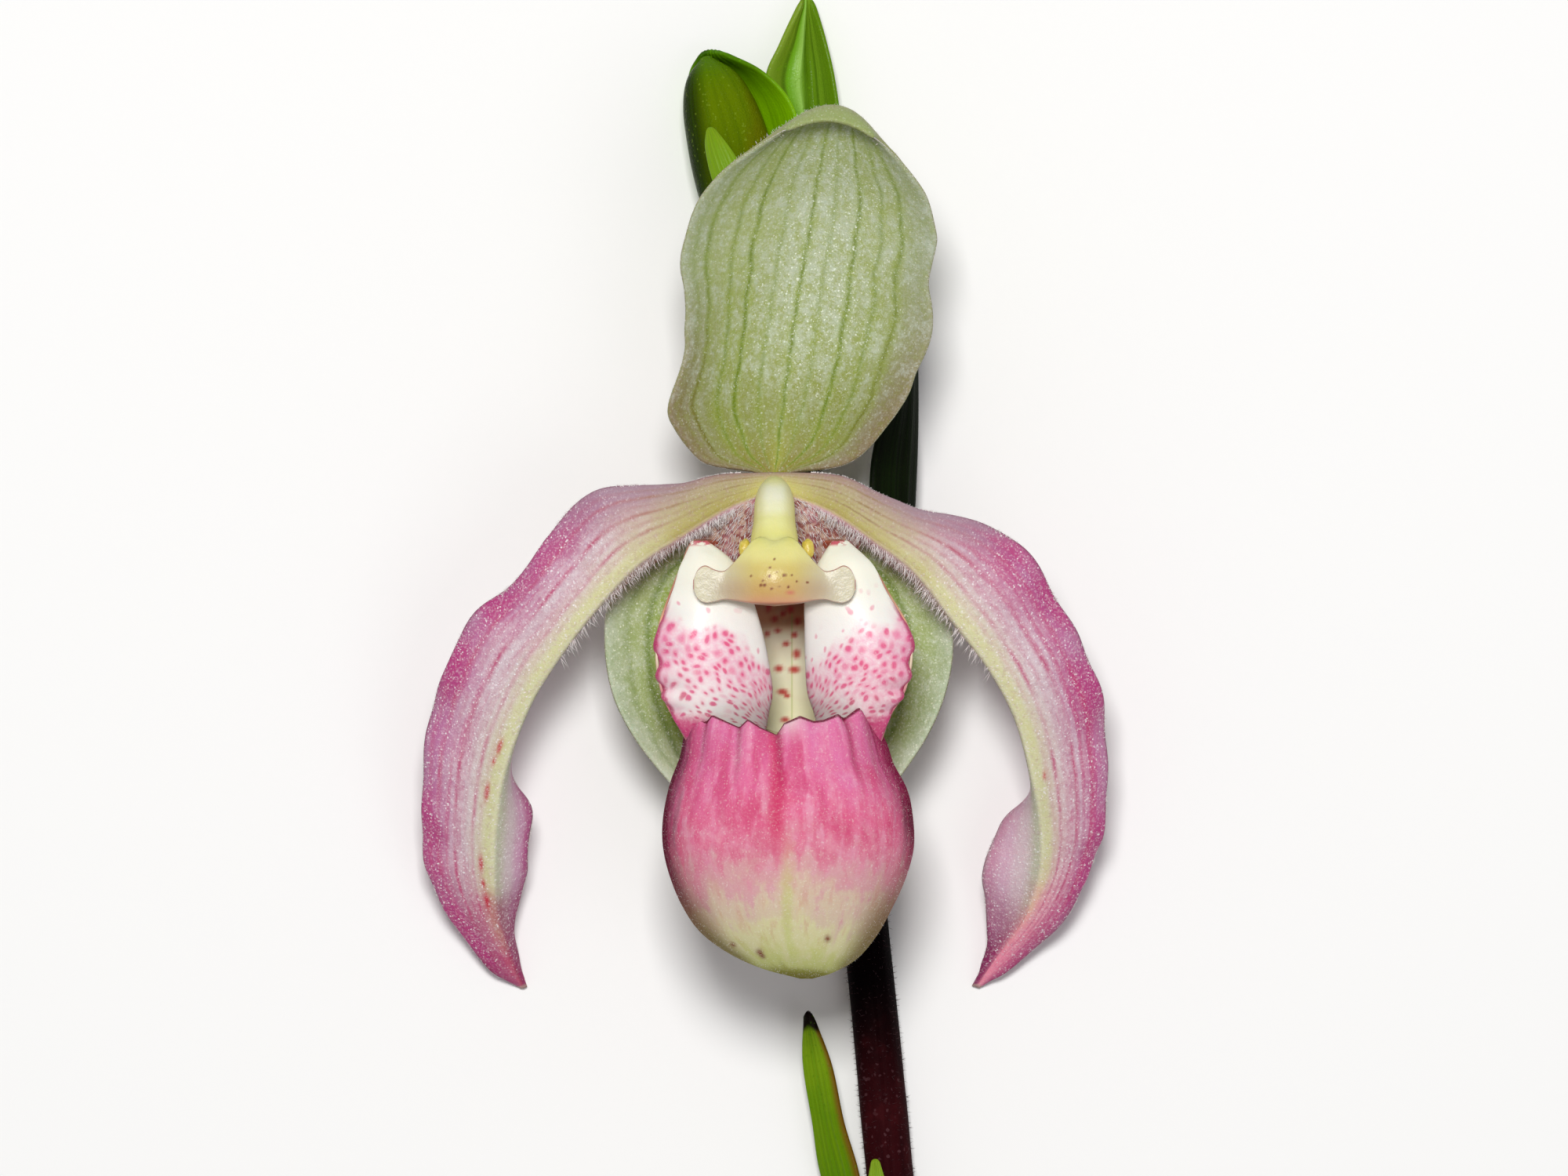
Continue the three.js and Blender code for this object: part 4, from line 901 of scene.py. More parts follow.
def lobe_material(side):
    """The side lobes: cream above, with rows of pink spots that fan out from the slit's foot."""
    s = Shade("lobe_left" if side < 0 else "lobe_right")
    u, v = s.grid()
    x, y = s.from_base()
    foot = LOBE_FANS[side]
    outward = (x - foot[0]) * side
    upward = y - foot[1]
    angle = s.math("ARCTAN2", upward, outward)
    reach = s.math("SQRT", outward * outward + upward * upward)
    jitter = s.noise(s.spot(), 0.35, 1) - 0.5
    soft = s.noise(s.spot(), 2.2, 2) - 0.5
    turned = angle + jitter * 0.22
    distance, first, second = s.cells((turned * 12, reach * 0.92), 1, 0.7, "2D")
    distance = distance + soft * 0.16
    size = 0.11 + first * 0.16
    spots = (size - distance).step(-0.14, 0.1)
    halo = distance.step(0.62, 0.1)
    limit = s.ramp(outward * 0.1, [
        (0, 0.5), (0.12, 0.56), (0.36, 0.78), (0.6, 0.9), (0.85, 0.93), (1, 1),
    ])
    beyond = limit * 11.2 - upward
    beyond = beyond + jitter * 3
    spotted = beyond.step(-0.6, 0.8)
    s.base = s.mix(y.step(-6, -13), (255, 251, 234), (250, 244, 240))
    heart = beyond.step(-0.8, 1.2) * beyond.step(8.5, 2)
    s.paint(heart * (0.55 + soft * 1.1), 243, 166, 196)
    s.paint(halo * (0.25 + heart * 0.75) * (spotted * 0.75), 238, 120, 162)
    if side > 0:
        wash = outward.step(2.5, 7.5) * beyond.step(1.5, 5)
        s.paint(wash * (0.4 + soft), 232, 132, 168)
    foot_tone = reach.step(7, 2)
    s.paint(foot_tone * 0.4, 240, 224, 220)
    dots = spots * spotted * second.step(0.08, 0.2)
    dot_tone = s.mix(beyond.step(3, 9), (228, 62, 122), (192, 44, 92))
    s.paint(dots * 0.72, dot_tone)
    stray = spots * second.step(0.62, 0.7) * beyond.step(-4.5, -1.5)
    s.paint(stray * 0.6, 232, 110, 152)
    flush = u.step(0.16, 0) * y.step(-9.5, -12.5)
    s.paint(flush * 0.45, 226, 118, 166)
    rim = u.step(0.05, 0.015) * y.step(-9, -11.5)
    s.paint(rim * 0.9, 182, 40, 98)
    side_wall = (v + soft * 0.05).step(0.82, 0.9) * u.step(0.42, 0.2)
    s.paint(side_wall * 0.92, 200, 62, 120)
    torn = s.noise(s.spot(), 1.3, 2)
    flap = v.step(0.05, 0.02) * torn.step(0.42, 0.52)
    inner_edge = u.step(0.7, 0.76) * v.step(0.24, 0.16) * torn.step(0.4, 0.5)
    flap = s.math("MAXIMUM", flap, inner_edge)
    s.paint(flap * 0.9, 200, 36, 80)
    s.paint(s.attribute("back") * 0.8, 226, 205, 170)
    grains = s.paint_glints(0.25, 0.14)
    s.soften(0.2, (1, 0.6, 0.5), 0.0015)
    return s.done(0.36, 0.35, s.bump(grains, 0.03, 0.35, s.bump(s.noise(s.spot(), 1.2), 0.1, 0.4)))


def trough_material():
    s = Shade("trough")
    u = s.grid()[0]
    x, y = s.from_base()
    cloud = s.noise(s.spot(), 0.5, 2)
    # Cream below, brown towards the top: its own reddish brown, with painted shade under the shield.
    s.base = s.ramp(y.step(-23, -8), [
        (0, 255, 250, 204), (0.4, 255, 248, 214), (0.72, 255, 240, 212), (0.86, 226, 162, 124),
        (1, 168, 84, 62),
    ])
    s.paint(cloud.step(0.5, 0.75) * 0.3, 246, 222, 190)
    line = x.near(1.65, 0.14) * y.step(-9.5, -12)
    s.paint(line * 0.5, 176, 194, 96)
    s.paint(s.attribute("spots") * 0.95, 200, 44, 48)
    edge = abs(u - 0.5).step(0.46, 0.49)
    s.paint(edge * y.step(-14, -20), 204, 76, 132)
    s.paint(s.attribute("back") * 0.7, 190, 150, 128)
    s.soften(0.18, (1, 0.7, 0.4), 0.0015)
    return s.done(0.4, 0.3, s.bump(cloud, 0.12, 0.5))


def column_material():
    s = Shade("column")
    x, y = s.from_base()
    away = abs(x)
    # The neck's near-white top is a painted highlight; it turns yellow lower down and orange-cream on
    # the dome.
    s.base = s.ramp(y * -0.1, [
        (0, 255, 253, 226), (0.1, 253, 251, 210), (0.22, 238, 236, 164), (0.36, 230, 226, 140),
        (0.54, 230, 222, 144), (0.7, 212, 192, 112), (0.88, 204, 168, 102), (1, 210, 158, 118),
    ])
    flank = away.step(0.5, 1.9) * y.step(-5.2, -3.6)
    s.paint(flank * 0.65, 214, 206, 112)
    s.paint(y.step(0.7, 1.6) * 0.6, 246, 240, 150)
    on_shield = y.step(-4.4, -7.2)
    wing = away.step(1.2, 5.6) * on_shield
    s.paint(wing, 204, 197, 172)
    # Painted shade in the hollows where the wings meet the dome.
    blush_and_shade = away.near(4.1, 2.6) * y.near(-8.9, 2)
    s.paint(blush_and_shade * 0.42, 172, 138, 112)
    s.paint(s.attribute("marks"), 120, 34, 26)
    blob = x.near(1.5, 0.7) * y.near(-9.05, 0.36)
    s.paint(blob * 0.6, 206, 92, 96)
    s.paint(s.attribute("edge"), 176, 84, 98)
    distance, _, _ = s.cells(s.spot(), 7)
    s.soften(0.25, (1, 0.8, 0.35), 0.0018)
    return s.done(0.34, 0.45, s.bump(distance, 0.03, 0.3, s.bump(s.noise(s.spot(), 1.5), 0.1, 0.5)))


def anther_material():
    s = Shade("anther")
    speckle = s.noise(s.spot(), 3, 3)
    s.base = s.mix(speckle, (196, 168, 50), (232, 216, 110))
    s.soften(0.2)
    return s.done(0.3, relief=s.bump(speckle, 0.15, 0.6))


def leaf_material(name, stops, inner, gloss, tip=None, edge=None, bands=None):
    """A smooth green leaf with fine lines along it. stops are its colours from base to tip."""
    s = Shade(name)
    u, v = s.grid()
    lines = s.noise((u * 36, v * 1.5), 1, 2)
    cloud = s.noise(s.spot(), 0.25, 3)
    s.base = s.ramp(v, stops)
    s.paint(cloud.step(0.4, 0.7) * 0.4, *inner)
    s.paint(lines.step(0.4, 0.7) * 0.3, *stops[-1][1:])
    keel = u.near(0.5, 0.05)
    s.paint(keel * 0.35, *inner)
    if bands is not None:
        s.paint(0.75, s.ramp(u + (cloud - 0.5) * 0.06, bands))
    if edge is not None:
        s.paint(u.step(*edge[:2]) * 0.85, *edge[2:])
    if tip is not None:
        s.paint(v.step(*tip[:2]), *tip[2:])
    grains, _, glints = s.cells(s.spot(), 6)
    s.paint(glints.step(0.95, 0.99) * 0.5, *inner)
    s.soften(0.05, (0.6, 1, 0.3))
    return s.done(gloss, 0.08, s.bump(grains, 0.05, 0.35, s.bump(lines, 0.12, 0.5)))


def bud_material():
    s = Shade("bud")
    u, v = s.grid()
    x, y = s.from_base()
    lines = s.noise((u * 40, v * 2), 1, 2)
    cloud = s.noise(s.spot(), 0.3, 3)
    s.base = s.ramp(v, [
        (0, 50, 28, 14), (0.22, 44, 56, 0), (0.5, 84, 104, 2), (0.75, 98, 122, 4), (1, 80, 120, 2),
    ])
    brown = (x * 0.3 + cloud).step(-0.6, 0.1)
    s.paint(brown * 0.36, 110, 92, 4)
    # Painted shade: the bud's left side darker.
    in_shade = (x * 0.25 + y * 0.03).step(-0.35, -0.9)
    s.paint(in_shade * 0.9, 16, 34, 0)
    s.paint(lines.step(0.45, 0.7) * 0.3, 66, 98, 2)
    # Pale green flecks painted as glints.
    distance, _, second = s.cells(s.spot(), 6)
    s.paint(second.step(0.96, 0.99) * 0.3, 150, 176, 60)
    return s.done(0.14, 0.01, s.bump(distance, 0.1, 0.8, s.bump(lines, 0.1, 0.4)))


def stem_material():
    s = Shade("stem")
    u = s.grid()[0]
    y = s.from_base()[1]
    lines = s.noise((u * 22, y * 0.12), 1, 3)
    cloud = s.noise(s.spot(), 0.6, 3)
    # Near black towards the bloom: painted shade where the pouch shades the dark maroon stem.
    s.base = s.ramp(y.step(-64, -44), [(0, 46, 9, 13), (1, 6, 1, 2)])
    low = y.step(-46, -60)
    s.paint(cloud.step(0.45, 0.7) * low * 0.5, 62, 16, 20)
    s.paint(lines.step(0.5, 0.75) * 0.35, 14, 3, 6)
    distance, first, _ = s.cells(s.spot(), 4)
    s.paint(first.step(0.95, 0.99) * low * 0.25, 120, 84, 90)
    return s.done(0.6, 0.02, s.bump(distance, 0.06, 0.5, s.bump(lines, 0.12, 0.5)))


def cut_material():
    """The stem's cut face: pale green pith with dark vessels, inside a maroon skin."""
    s = Shade("cut")
    v = s.grid()[1]  # from the middle to the skin
    distance, first, _ = s.cells(s.spot(), 2.6)
    s.base = s.ramp(v, [
        (0, 186, 190, 128), (0.72, 170, 178, 108), (0.9, 120, 130, 70), (1, 66, 20, 26),
    ])
    vessels = distance.step(0.3, 0.15) * first.step(0.4, 0.5)
    s.paint(vessels * 0.7, 108, 104, 56)
    return s.done(0.4, relief=s.bump(distance, 0.1, 0.6))


def ovary_material():
    s = Shade("ovary")
    u, v = s.grid()
    cloud = s.noise(s.spot(), 0.7, 3)
    ribs = s.math("SINE", u * (2 * math.pi * OVARY_RIBS))
    s.base = s.ramp(v, [(0, 52, 16, 20), (0.6, 84, 34, 30), (1, 120, 92, 44)])
    s.paint(ribs.step(-0.2, 1) * 0.4, 104, 70, 40)
    s.paint(cloud.step(0.45, 0.7) * 0.4, 60, 18, 24)
    return s.done(0.55, 0.4, s.bump(cloud, 0.12, 0.5))


def hair_material(name, root, end):
    s = Shade(name)
    s.base = s.ramp(s.grid()[1], [(0, *root), (0.45, *end), (1, *end)])
    return s.done(0.5, 0.2)


# ---- Curves and surfaces ----


def spline(before, start, end, after, share):
    """The point at a share of the way from start to end, on a smooth curve through all four."""
    a, b, c, d = before, start, end, after
    cubic = 3 * (b - c) + d - a
    return b + 0.5 * share * (c - a + share * (2 * a - 5 * b + 4 * c - d + share * cubic))


def through(stations, t):
    """A smooth curve through evenly counted stations, at each t from 0 to 1."""
    rows = np.asarray(stations, float)
    last = len(rows) - 1
    rows = np.vstack([2 * rows[0] - rows[1], rows, 2 * rows[-1] - rows[-2]])
    i = np.minimum((t * last).astype(int), last - 1)
    return spline(*(rows[i + k] for k in range(4)), (t * last - i)[..., None])


def unit(vectors):
    return vectors / np.maximum(np.linalg.norm(vectors, axis=-1, keepdims=True), 1e-9)


def blade(rows, crease, bulge=(0.0, 0.0), ripple=0.0):
    """A blade between its two margins, folded along its midrib: a function of across and along."""
    rails = np.array(rows, float).reshape(len(rows), 9)

    def surface(u, v):
        rail = through(rails, v)
        left, middle, right = rail[..., 0:3], rail[..., 3:6], rail[..., 6:9]
        side = 2 * u - 1
        half = np.abs(side)
        rounded = (np.hypot(side, crease) - crease) / (math.hypot(1, crease) - crease)
        point = middle + (right - left) / 2 * side[..., None]
        point = point + ((left + right) / 2 - middle) * rounded[..., None]
        lift = np.where(side < 0, bulge[0], bulge[1]) * 4 * half * (1 - half)
        wave = ripple * half**3 * np.sin(2 * np.pi * RIPPLE_COUNT * v + 2 * side)
        point[..., 2] += (lift + wave) * np.sin(np.pi * v)
        return point

    return surface


def wavy(surface, left, right):
    """The surface with its margins moved out by the given amounts, in even steps from base to tip."""
    left, right = (np.array(values, float)[:, None] for values in (left, right))

    def moved(u, v):
        point = surface(u, v)
        outward = unit(surface(np.full_like(u, 0.0), v) - surface(np.full_like(u, 0.25), v))
        inward = unit(surface(np.full_like(u, 1.0), v) - surface(np.full_like(u, 0.75), v))
        share = np.abs(2 * u - 1)[..., None] ** 2
        out = np.where(u[..., None] < 0.5, outward * through(left, v), inward * through(right, v))
        return point + out * share

    return moved


def dorsal_surface():
    return wavy(blade(DORSAL, DORSAL_CREASE), *DORSAL_WAVES)


def synsepal_surface():
    return blade(SYNSEPAL, SYNSEPAL_CREASE)


def claw_surface():
    return blade(CLAW, CLAW_CREASE)


def blots(points, spots, power=2):
    """How deep in a spot each point lies, 0 to 1. spots are x, y, half width and half height."""
    total = np.zeros(points.shape[:-1])
    for x, y, width, height in spots:
        away = ((points[..., 0] - x) / width) ** 2 + ((points[..., 1] - y) / height) ** 2
        total += np.exp(-(away**power))
    return np.clip(total, 0, 1)


def trough_surface(u, v):
    """The trough: u runs from the left fold, round the back, to the right fold."""
    row = through(TROUGH, v)
    y, left, right, fold_z, back_z = (row[..., k] for k in range(5))
    cosine = np.cos(u * np.pi)
    reach = np.sign(cosine) * np.abs(cosine) ** TROUGH_SHAPE[0]
    depth = np.maximum(np.sin(u * np.pi), 0) ** TROUGH_SHAPE[1]
    x = (left + right) / 2 - (right - left) / 2 * reach
    return np.stack([x, y, fold_z + (back_z - fold_z) * depth], axis=-1)


def lobe_surface(edges, side):
    """A side lobe: u from the fold, over the bulge, to the inner edge's curl; v down the lip."""
    rows = []
    for (y, left, right, fold_z, _), (edge_x, edge_z, bulge) in zip(TROUGH[2:], edges):
        fold_x = left if side < 0 else right
        for share, lift in LOBE_ARCH:
            z = fold_z + (edge_z - fold_z) * share + bulge * lift
            rows.append((fold_x + (edge_x - fold_x) * share, y, z))
        rows.append((edge_x + side * LOBE_CURL[0], y, edge_z - LOBE_CURL[1]))
    last = len(LOBE_ARCH)
    rails = np.array(rows, float).reshape(len(edges), 3 * (last + 1))

    def surface(u, v):
        points = through(rails, v)
        points = points.reshape(*points.shape[:-1], last + 1, 3)
        first = 2 * points[..., :1, :] - points[..., 1:2, :]
        final = 2 * points[..., -1:, :] - points[..., -2:-1, :]
        points = np.concatenate([first, points, final], axis=-2)
        i = np.minimum((u * last).astype(int), last - 1)
        near_points = (np.take_along_axis(points, (i + k)[..., None, None], axis=-2)[..., 0, :]
                       for k in range(4))
        made = spline(*near_points, (u * last - i)[..., None])
        margin = np.exp(-((u / 0.16) ** 2)) * np.sin(np.pi * np.clip(v * 1.1 - 0.1, 0, 1))
        made[..., 0] += side * LOBE_WAVE * margin * np.sin(34 * v + 3 * np.sin(9 * v))
        made[..., 2] += LOBE_WAVE * margin * np.cos(41 * v)
        return made

    return surface


def cup_surface(angle, along, inset, relief=0.0):
    """The pouch: angle 0 is its left side and a quarter turn its front."""
    row = through(CUP, along)
    left_x, left_y, right_x, right_y, front_z, back_z = (row[..., k] for k in range(6))
    reach, rise = -np.cos(angle), np.sin(angle)
    half = (right_x - left_x) / 2 - inset + relief
    depth = (front_z - back_z) / 2 - inset + relief
    x = (left_x + right_x) / 2 + half * reach
    y = left_y + (right_y - left_y) * (reach + 1) / 2
    rim_share = np.maximum(0, 1 - along * (len(CUP) - 1))
    rim_x, rim_y = np.array(RIM).T
    y = np.where(rise > -1e-9, y + (np.interp(x, rim_x, rim_y) - y) * rim_share,
                 y + rim_share * BACK_RIM_LIFT)
    z = (front_z + back_z) / 2 + depth * np.sign(rise) * np.abs(rise) ** CUP_SQUARENESS
    return np.stack([x, y, z], axis=-1)


def shield_surface(u, v):
    """The shield's middle surface: u from wing tip to wing tip, v from lower to upper edge."""
    row = through(SHIELD, np.abs(2 * u - 1))
    distance, upper, lower = (row[..., k] for k in range(3))
    y = lower + (upper - lower) * v
    lean = SHIELD_LEAN * np.maximum(0, 1 - distance / SHIELD_DOME_REACH) * (SHIELD_LEAN_PIVOT - v)
    sink = SHIELD_SINK * np.clip((v - 0.8) / 0.2, 0, 1) ** 2 * np.clip(1.6 - distance / 2.0, 0, 1)
    return np.stack([np.where(u < 0.5, -1, 1) * distance, y, SHIELD_Z + (lean - sink)], axis=-1)


def shield_thickness(u, v):
    distance = through(SHIELD, np.abs(2 * u - 1))[..., 0]
    dome = 0.5 + 0.5 * np.cos(np.pi * np.clip(distance / SHIELD_DOME_REACH, 0, 1))
    low, high = SHIELD_DOME_SPAN
    return SHIELD_WING + SHIELD_DOME * dome * np.sin(np.pi * (low + (high - low) * v))


def normals_of(points):
    """Unit normals of a grid of points, turned so that most of them point up."""
    normal = unit(np.cross(np.gradient(points, axis=1), np.gradient(points, axis=0)))
    return normal if normal[..., 2].sum() >= 0 else -normal


def soft_noise(u, v, count, seed):
    """Smooth unevenness between about -1 and 1, as a sum of a few waves."""
    draw = np.random.default_rng(seed)
    total = np.zeros_like(u)
    for _ in range(6):
        turn = draw.uniform(0, 2 * np.pi)
        pace = count * draw.uniform(0.5, 1.5)
        total += np.sin(pace * (u * np.cos(turn) + v * np.sin(turn)) + draw.uniform(0, 2 * np.pi))
    return total / 6


def grooves(u, table, width):
    """Shallow furrows at the table's places across a blade, 0 to 1 deep."""
    return sum(strength * np.exp(-(((u - centre) / width) ** 2)) for centre, strength in table)


# ---- Pieces ----


def make_piece(name, points, faces, uv, material, nodes=(), extra=None):
    """A piece of the flower from points in millimetres. uv and extra have a value for each point."""
    mesh = bpy.data.meshes.new(name)
    mesh.from_pydata(place(points).tolist(), [], [tuple(face) for face in faces])
    layer = mesh.uv_layers.new(name="grid")
    corner = np.empty(len(mesh.loops), np.int32)
    mesh.loops.foreach_get("vertex_index", corner)
    layer.data.foreach_set("uv", np.asarray(uv, np.float32)[corner].ravel())
    for key, values in (extra or {}).items():
        layer = mesh.attributes.new(key, "FLOAT", "POINT")
        layer.data.foreach_set("value", np.asarray(values, np.float32))
    mesh.materials.append(material)
    mesh.shade_smooth()
    piece = add_object(name, mesh)
    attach(piece, "root")
    if nodes:
        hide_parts(*nodes)


def sheet_parts(surface, grid, thickness, edge, relief=None):
    """Points, faces, uv and the back's share of a closed sheet that thins towards its margins."""
    across, along = grid
    u, v = np.meshgrid(np.linspace(0, 1, across + 1), np.linspace(0, 1, along + 1))
    middle = surface(u, v)
    normal = normals_of(middle)
    if relief is not None:
        middle = middle + normal * relief(u, v)[..., None]
    full = thickness(u, v) if callable(thickness) else np.full_like(u, thickness)
    rounded = edge + (1 - edge) * np.sqrt(np.clip(1 - np.abs(2 * u - 1) ** 8, 0, 1))
    rounded = rounded * (TIP_SHARE + (1 - TIP_SHARE) * np.clip((1 - v) / TIP_REACH, 0, 1))
    half = (full * rounded / 2)[..., None]
    points = np.concatenate([(middle + normal * half).reshape(-1, 3),
                             (middle - normal * half).reshape(-1, 3)])
    row, size = across + 1, u.size
    j, i = np.meshgrid(np.arange(along), np.arange(across), indexing="ij")
    a = (j * row + i).ravel()
    front = np.stack([a, a + 1, a + row + 1, a + row], axis=1)
    back = front[:, ::-1] + size
    ring = np.concatenate([
        np.arange(across),
        across + row * np.arange(along),
        row * along + across - np.arange(across),
        row * (along - np.arange(along)),
    ])
    following = np.roll(ring, -1)
    rim = np.stack([following, ring, ring + size, following + size], axis=1)
    faces = np.concatenate([front, back, rim])
    steps = np.cross(middle[1, 1] - middle[1, 0], middle[1, 1] - middle[0, 1])
    if steps @ normal[1, 1] < 0:
        faces = faces[:, ::-1]
    uv = np.tile(np.stack([u.ravel(), v.ravel()], axis=1), (2, 1))
    return points, faces, uv, np.repeat([0.0, 1.0], size)


def make_sheet(name, surface, grid, thickness, material, nodes, relief=None, extra=None):
    points, faces, uv, back = sheet_parts(surface, grid, thickness, EDGE_SHARE, relief)
    values = {"back": back}
    for key, function in (extra or {}).items():
        values[key] = function(uv[:, 0], uv[:, 1]) * (1 - back)
    make_piece(name, points, faces, uv, material, nodes, values)


def ring_faces(rows, sides):
    """Faces of a stack of rings, which two more points close at its start and end."""
    j, i = np.meshgrid(np.arange(rows - 1), np.arange(sides), indexing="ij")
    a, b = (j * sides + i).ravel(), (j * sides + (i + 1) % sides).ravel()
    faces = np.stack([a, b, b + sides, a + sides], axis=1).tolist()
    start, end, last = rows * sides, rows * sides + 1, (rows - 1) * sides
    for k in range(sides):
        following = (k + 1) % sides
        faces.append((start, following, k))
        faces.append((end, last + k, last + following))
    return faces


def tube_parts(line, sides, relief=None):
    """Points, faces and uv of a round solid along a line of x, y, z and radius, closed at its ends."""
    centres = line[:, :3]
    direction = unit(np.gradient(centres, axis=0))
    across = np.cross([0, 0, 1.0], direction)
    # Where the line runs upwards, the cross product is too short to use.
    across[np.linalg.norm(across, axis=1) < 0.1] = (-1, 0, 0)
    across = unit(across)
    up = np.cross(direction, across)
    share, along = np.meshgrid(np.arange(sides) / sides, np.linspace(0, 1, len(line)))
    angle = share * 2 * np.pi
    radius = line[:, 3:] + (relief(angle, along) if relief is not None else 0)
    rings = (centres[:, None] + across[:, None] * (radius * np.sin(angle))[..., None]
             + up[:, None] * (radius * np.cos(angle))[..., None])
    points = np.concatenate([rings.reshape(-1, 3), centres[:1], centres[-1:]])
    uv = np.concatenate([np.stack([share.ravel(), along.ravel()], axis=1), [[0.5, 0], [0.5, 1]]])
    return points, ring_faces(len(line), sides), uv


def make_dorsal():
    def relief(u, v):
        return (-DORSAL_GROOVE_DEPTH * grooves(u, DORSAL_VEINS, DORSAL_GROOVE_WIDTH)
                * np.sin(np.pi * np.clip(v, 0, 0.9))
                + DORSAL_UNEVENNESS * soft_noise(u * 2, v * 3, 4, 5))

    make_sheet("dorsal_sepal_fine", dorsal_surface(), DORSAL_GRID, SEPAL_THICKNESS,
               dorsal_material(), ["dorsal_sepal"], relief)


def make_synsepal():
    def relief(u, v):
        return (-SYNSEPAL_GROOVE_DEPTH * grooves(u, SYNSEPAL_VEINS, SYNSEPAL_GROOVE_WIDTH)
                * np.sin(np.pi * v)
                + SYNSEPAL_UNEVENNESS * soft_noise(u * 2, v * 3, 4, 6))

    make_sheet("synsepal_fine", synsepal_surface(), SYNSEPAL_GRID, SEPAL_THICKNESS,
               synsepal_material(), ["synsepal"], relief)


def petal_marks(side):
    dashes = PETAL_DASHES if side < 0 else PETAL_DASHES[1:2]

    def marks(u, v):
        total = np.zeros_like(u)
        for centre, along, length, width in dashes:
            total += np.exp(-(((u - centre) / width) ** 2) - ((v - along) / length) ** 2)
        return np.clip(total * 1.3, 0, 1) * 0.9

    return marks


def petal_relief(u, v):
    outer = np.clip(1 - 2 * u, 0, 1)
    inner = np.clip(2 * u - 1, 0, 1)
    crinkle = (outer**2 * np.sin(2 * np.pi * PETAL_CRINKLES * v + 1.5 * np.sin(9 * v))
               + inner**3 * np.sin(70 * v))
    uneven = PETAL_UNEVENNESS * soft_noise(u * 2, v * 6, 5, 9) * outer
    groove = PETAL_GROOVE_DEPTH * grooves(u, PETAL_VEINS, PETAL_GROOVE_WIDTH)
    return (uneven + CRINKLE_HEIGHT * crinkle - groove) * np.sin(np.pi * v)


def petal_surface(rows, side):
    plain = blade(rows, PETAL_CREASE, PETAL_BULGE, RIPPLE_HEIGHT)
    return wavy(plain, *PETAL_WAVES[side])


def make_petal(name, rows, side, material):
    make_sheet(name + "_fine", petal_surface(rows, side), PETAL_GRID, PETAL_THICKNESS, material,
               [name], petal_relief, {"marks": petal_marks(side)})


def make_lobes():
    for side, edges, name in ((-1, LOBE_LEFT, "lobe_left"), (1, LOBE_RIGHT, "lobe_right")):
        make_sheet(name, lobe_surface(edges, side), LOBE_GRID, LOBE_WALL, lobe_material(side),
                   ["lip"])


def make_trough():
    def surface(u, v):
        # Evenly spread across, and only as far up as the lobes hide its upper end.
        level = 1 - 2 * u
        share = np.arccos(np.sign(level) * np.abs(level) ** (1 / TROUGH_SHAPE[0])) / np.pi
        return trough_surface(share, TROUGH_START + (1 - TROUGH_START) * v)

    def spots(u, v):
        return blots(surface(u, v), TROUGH_SPOTS)

    make_sheet("trough", surface, TROUGH_GRID, TROUGH_WALL, trough_material(), ["lip"],
               extra={"spots": spots})


def claw_material():
    s = Shade("claw")
    freckle = s.noise(s.spot(), 1.6, 3.0)
    cloud = s.noise(s.spot(), 0.5, 2.0)
    s.base = s.mix(freckle.step(0.42, 0.58), (188, 156, 138), (138, 72, 66))
    s.paint(cloud.step(0.5, 0.7) * 0.4, 204, 140, 156)
    s.soften()
    return s.done(0.5, 0.3, s.bump(freckle, 0.15, 0.6))


def make_claw():
    make_sheet("claw", claw_surface(), CLAW_GRID, TROUGH_WALL, claw_material(), ["lip"])


def cup_angles():
    """Angles round the pouch, and those of the rim's teeth and notches, which are among them."""
    left, right = CUP[0][0], CUP[0][2]
    middle, half = (left + right) / 2, (right - left) / 2
    marks = [math.acos(min(1, max(-1, (middle - x) / half))) for x, _ in RIM]
    front = [a + (b - a) * k / CUP_FRONT for a, b in zip(marks, marks[1:]) for k in range(CUP_FRONT)]
    back = [math.pi * (1 + k / CUP_BACK) for k in range(CUP_BACK)]
    return np.array(front + back), np.array(marks)


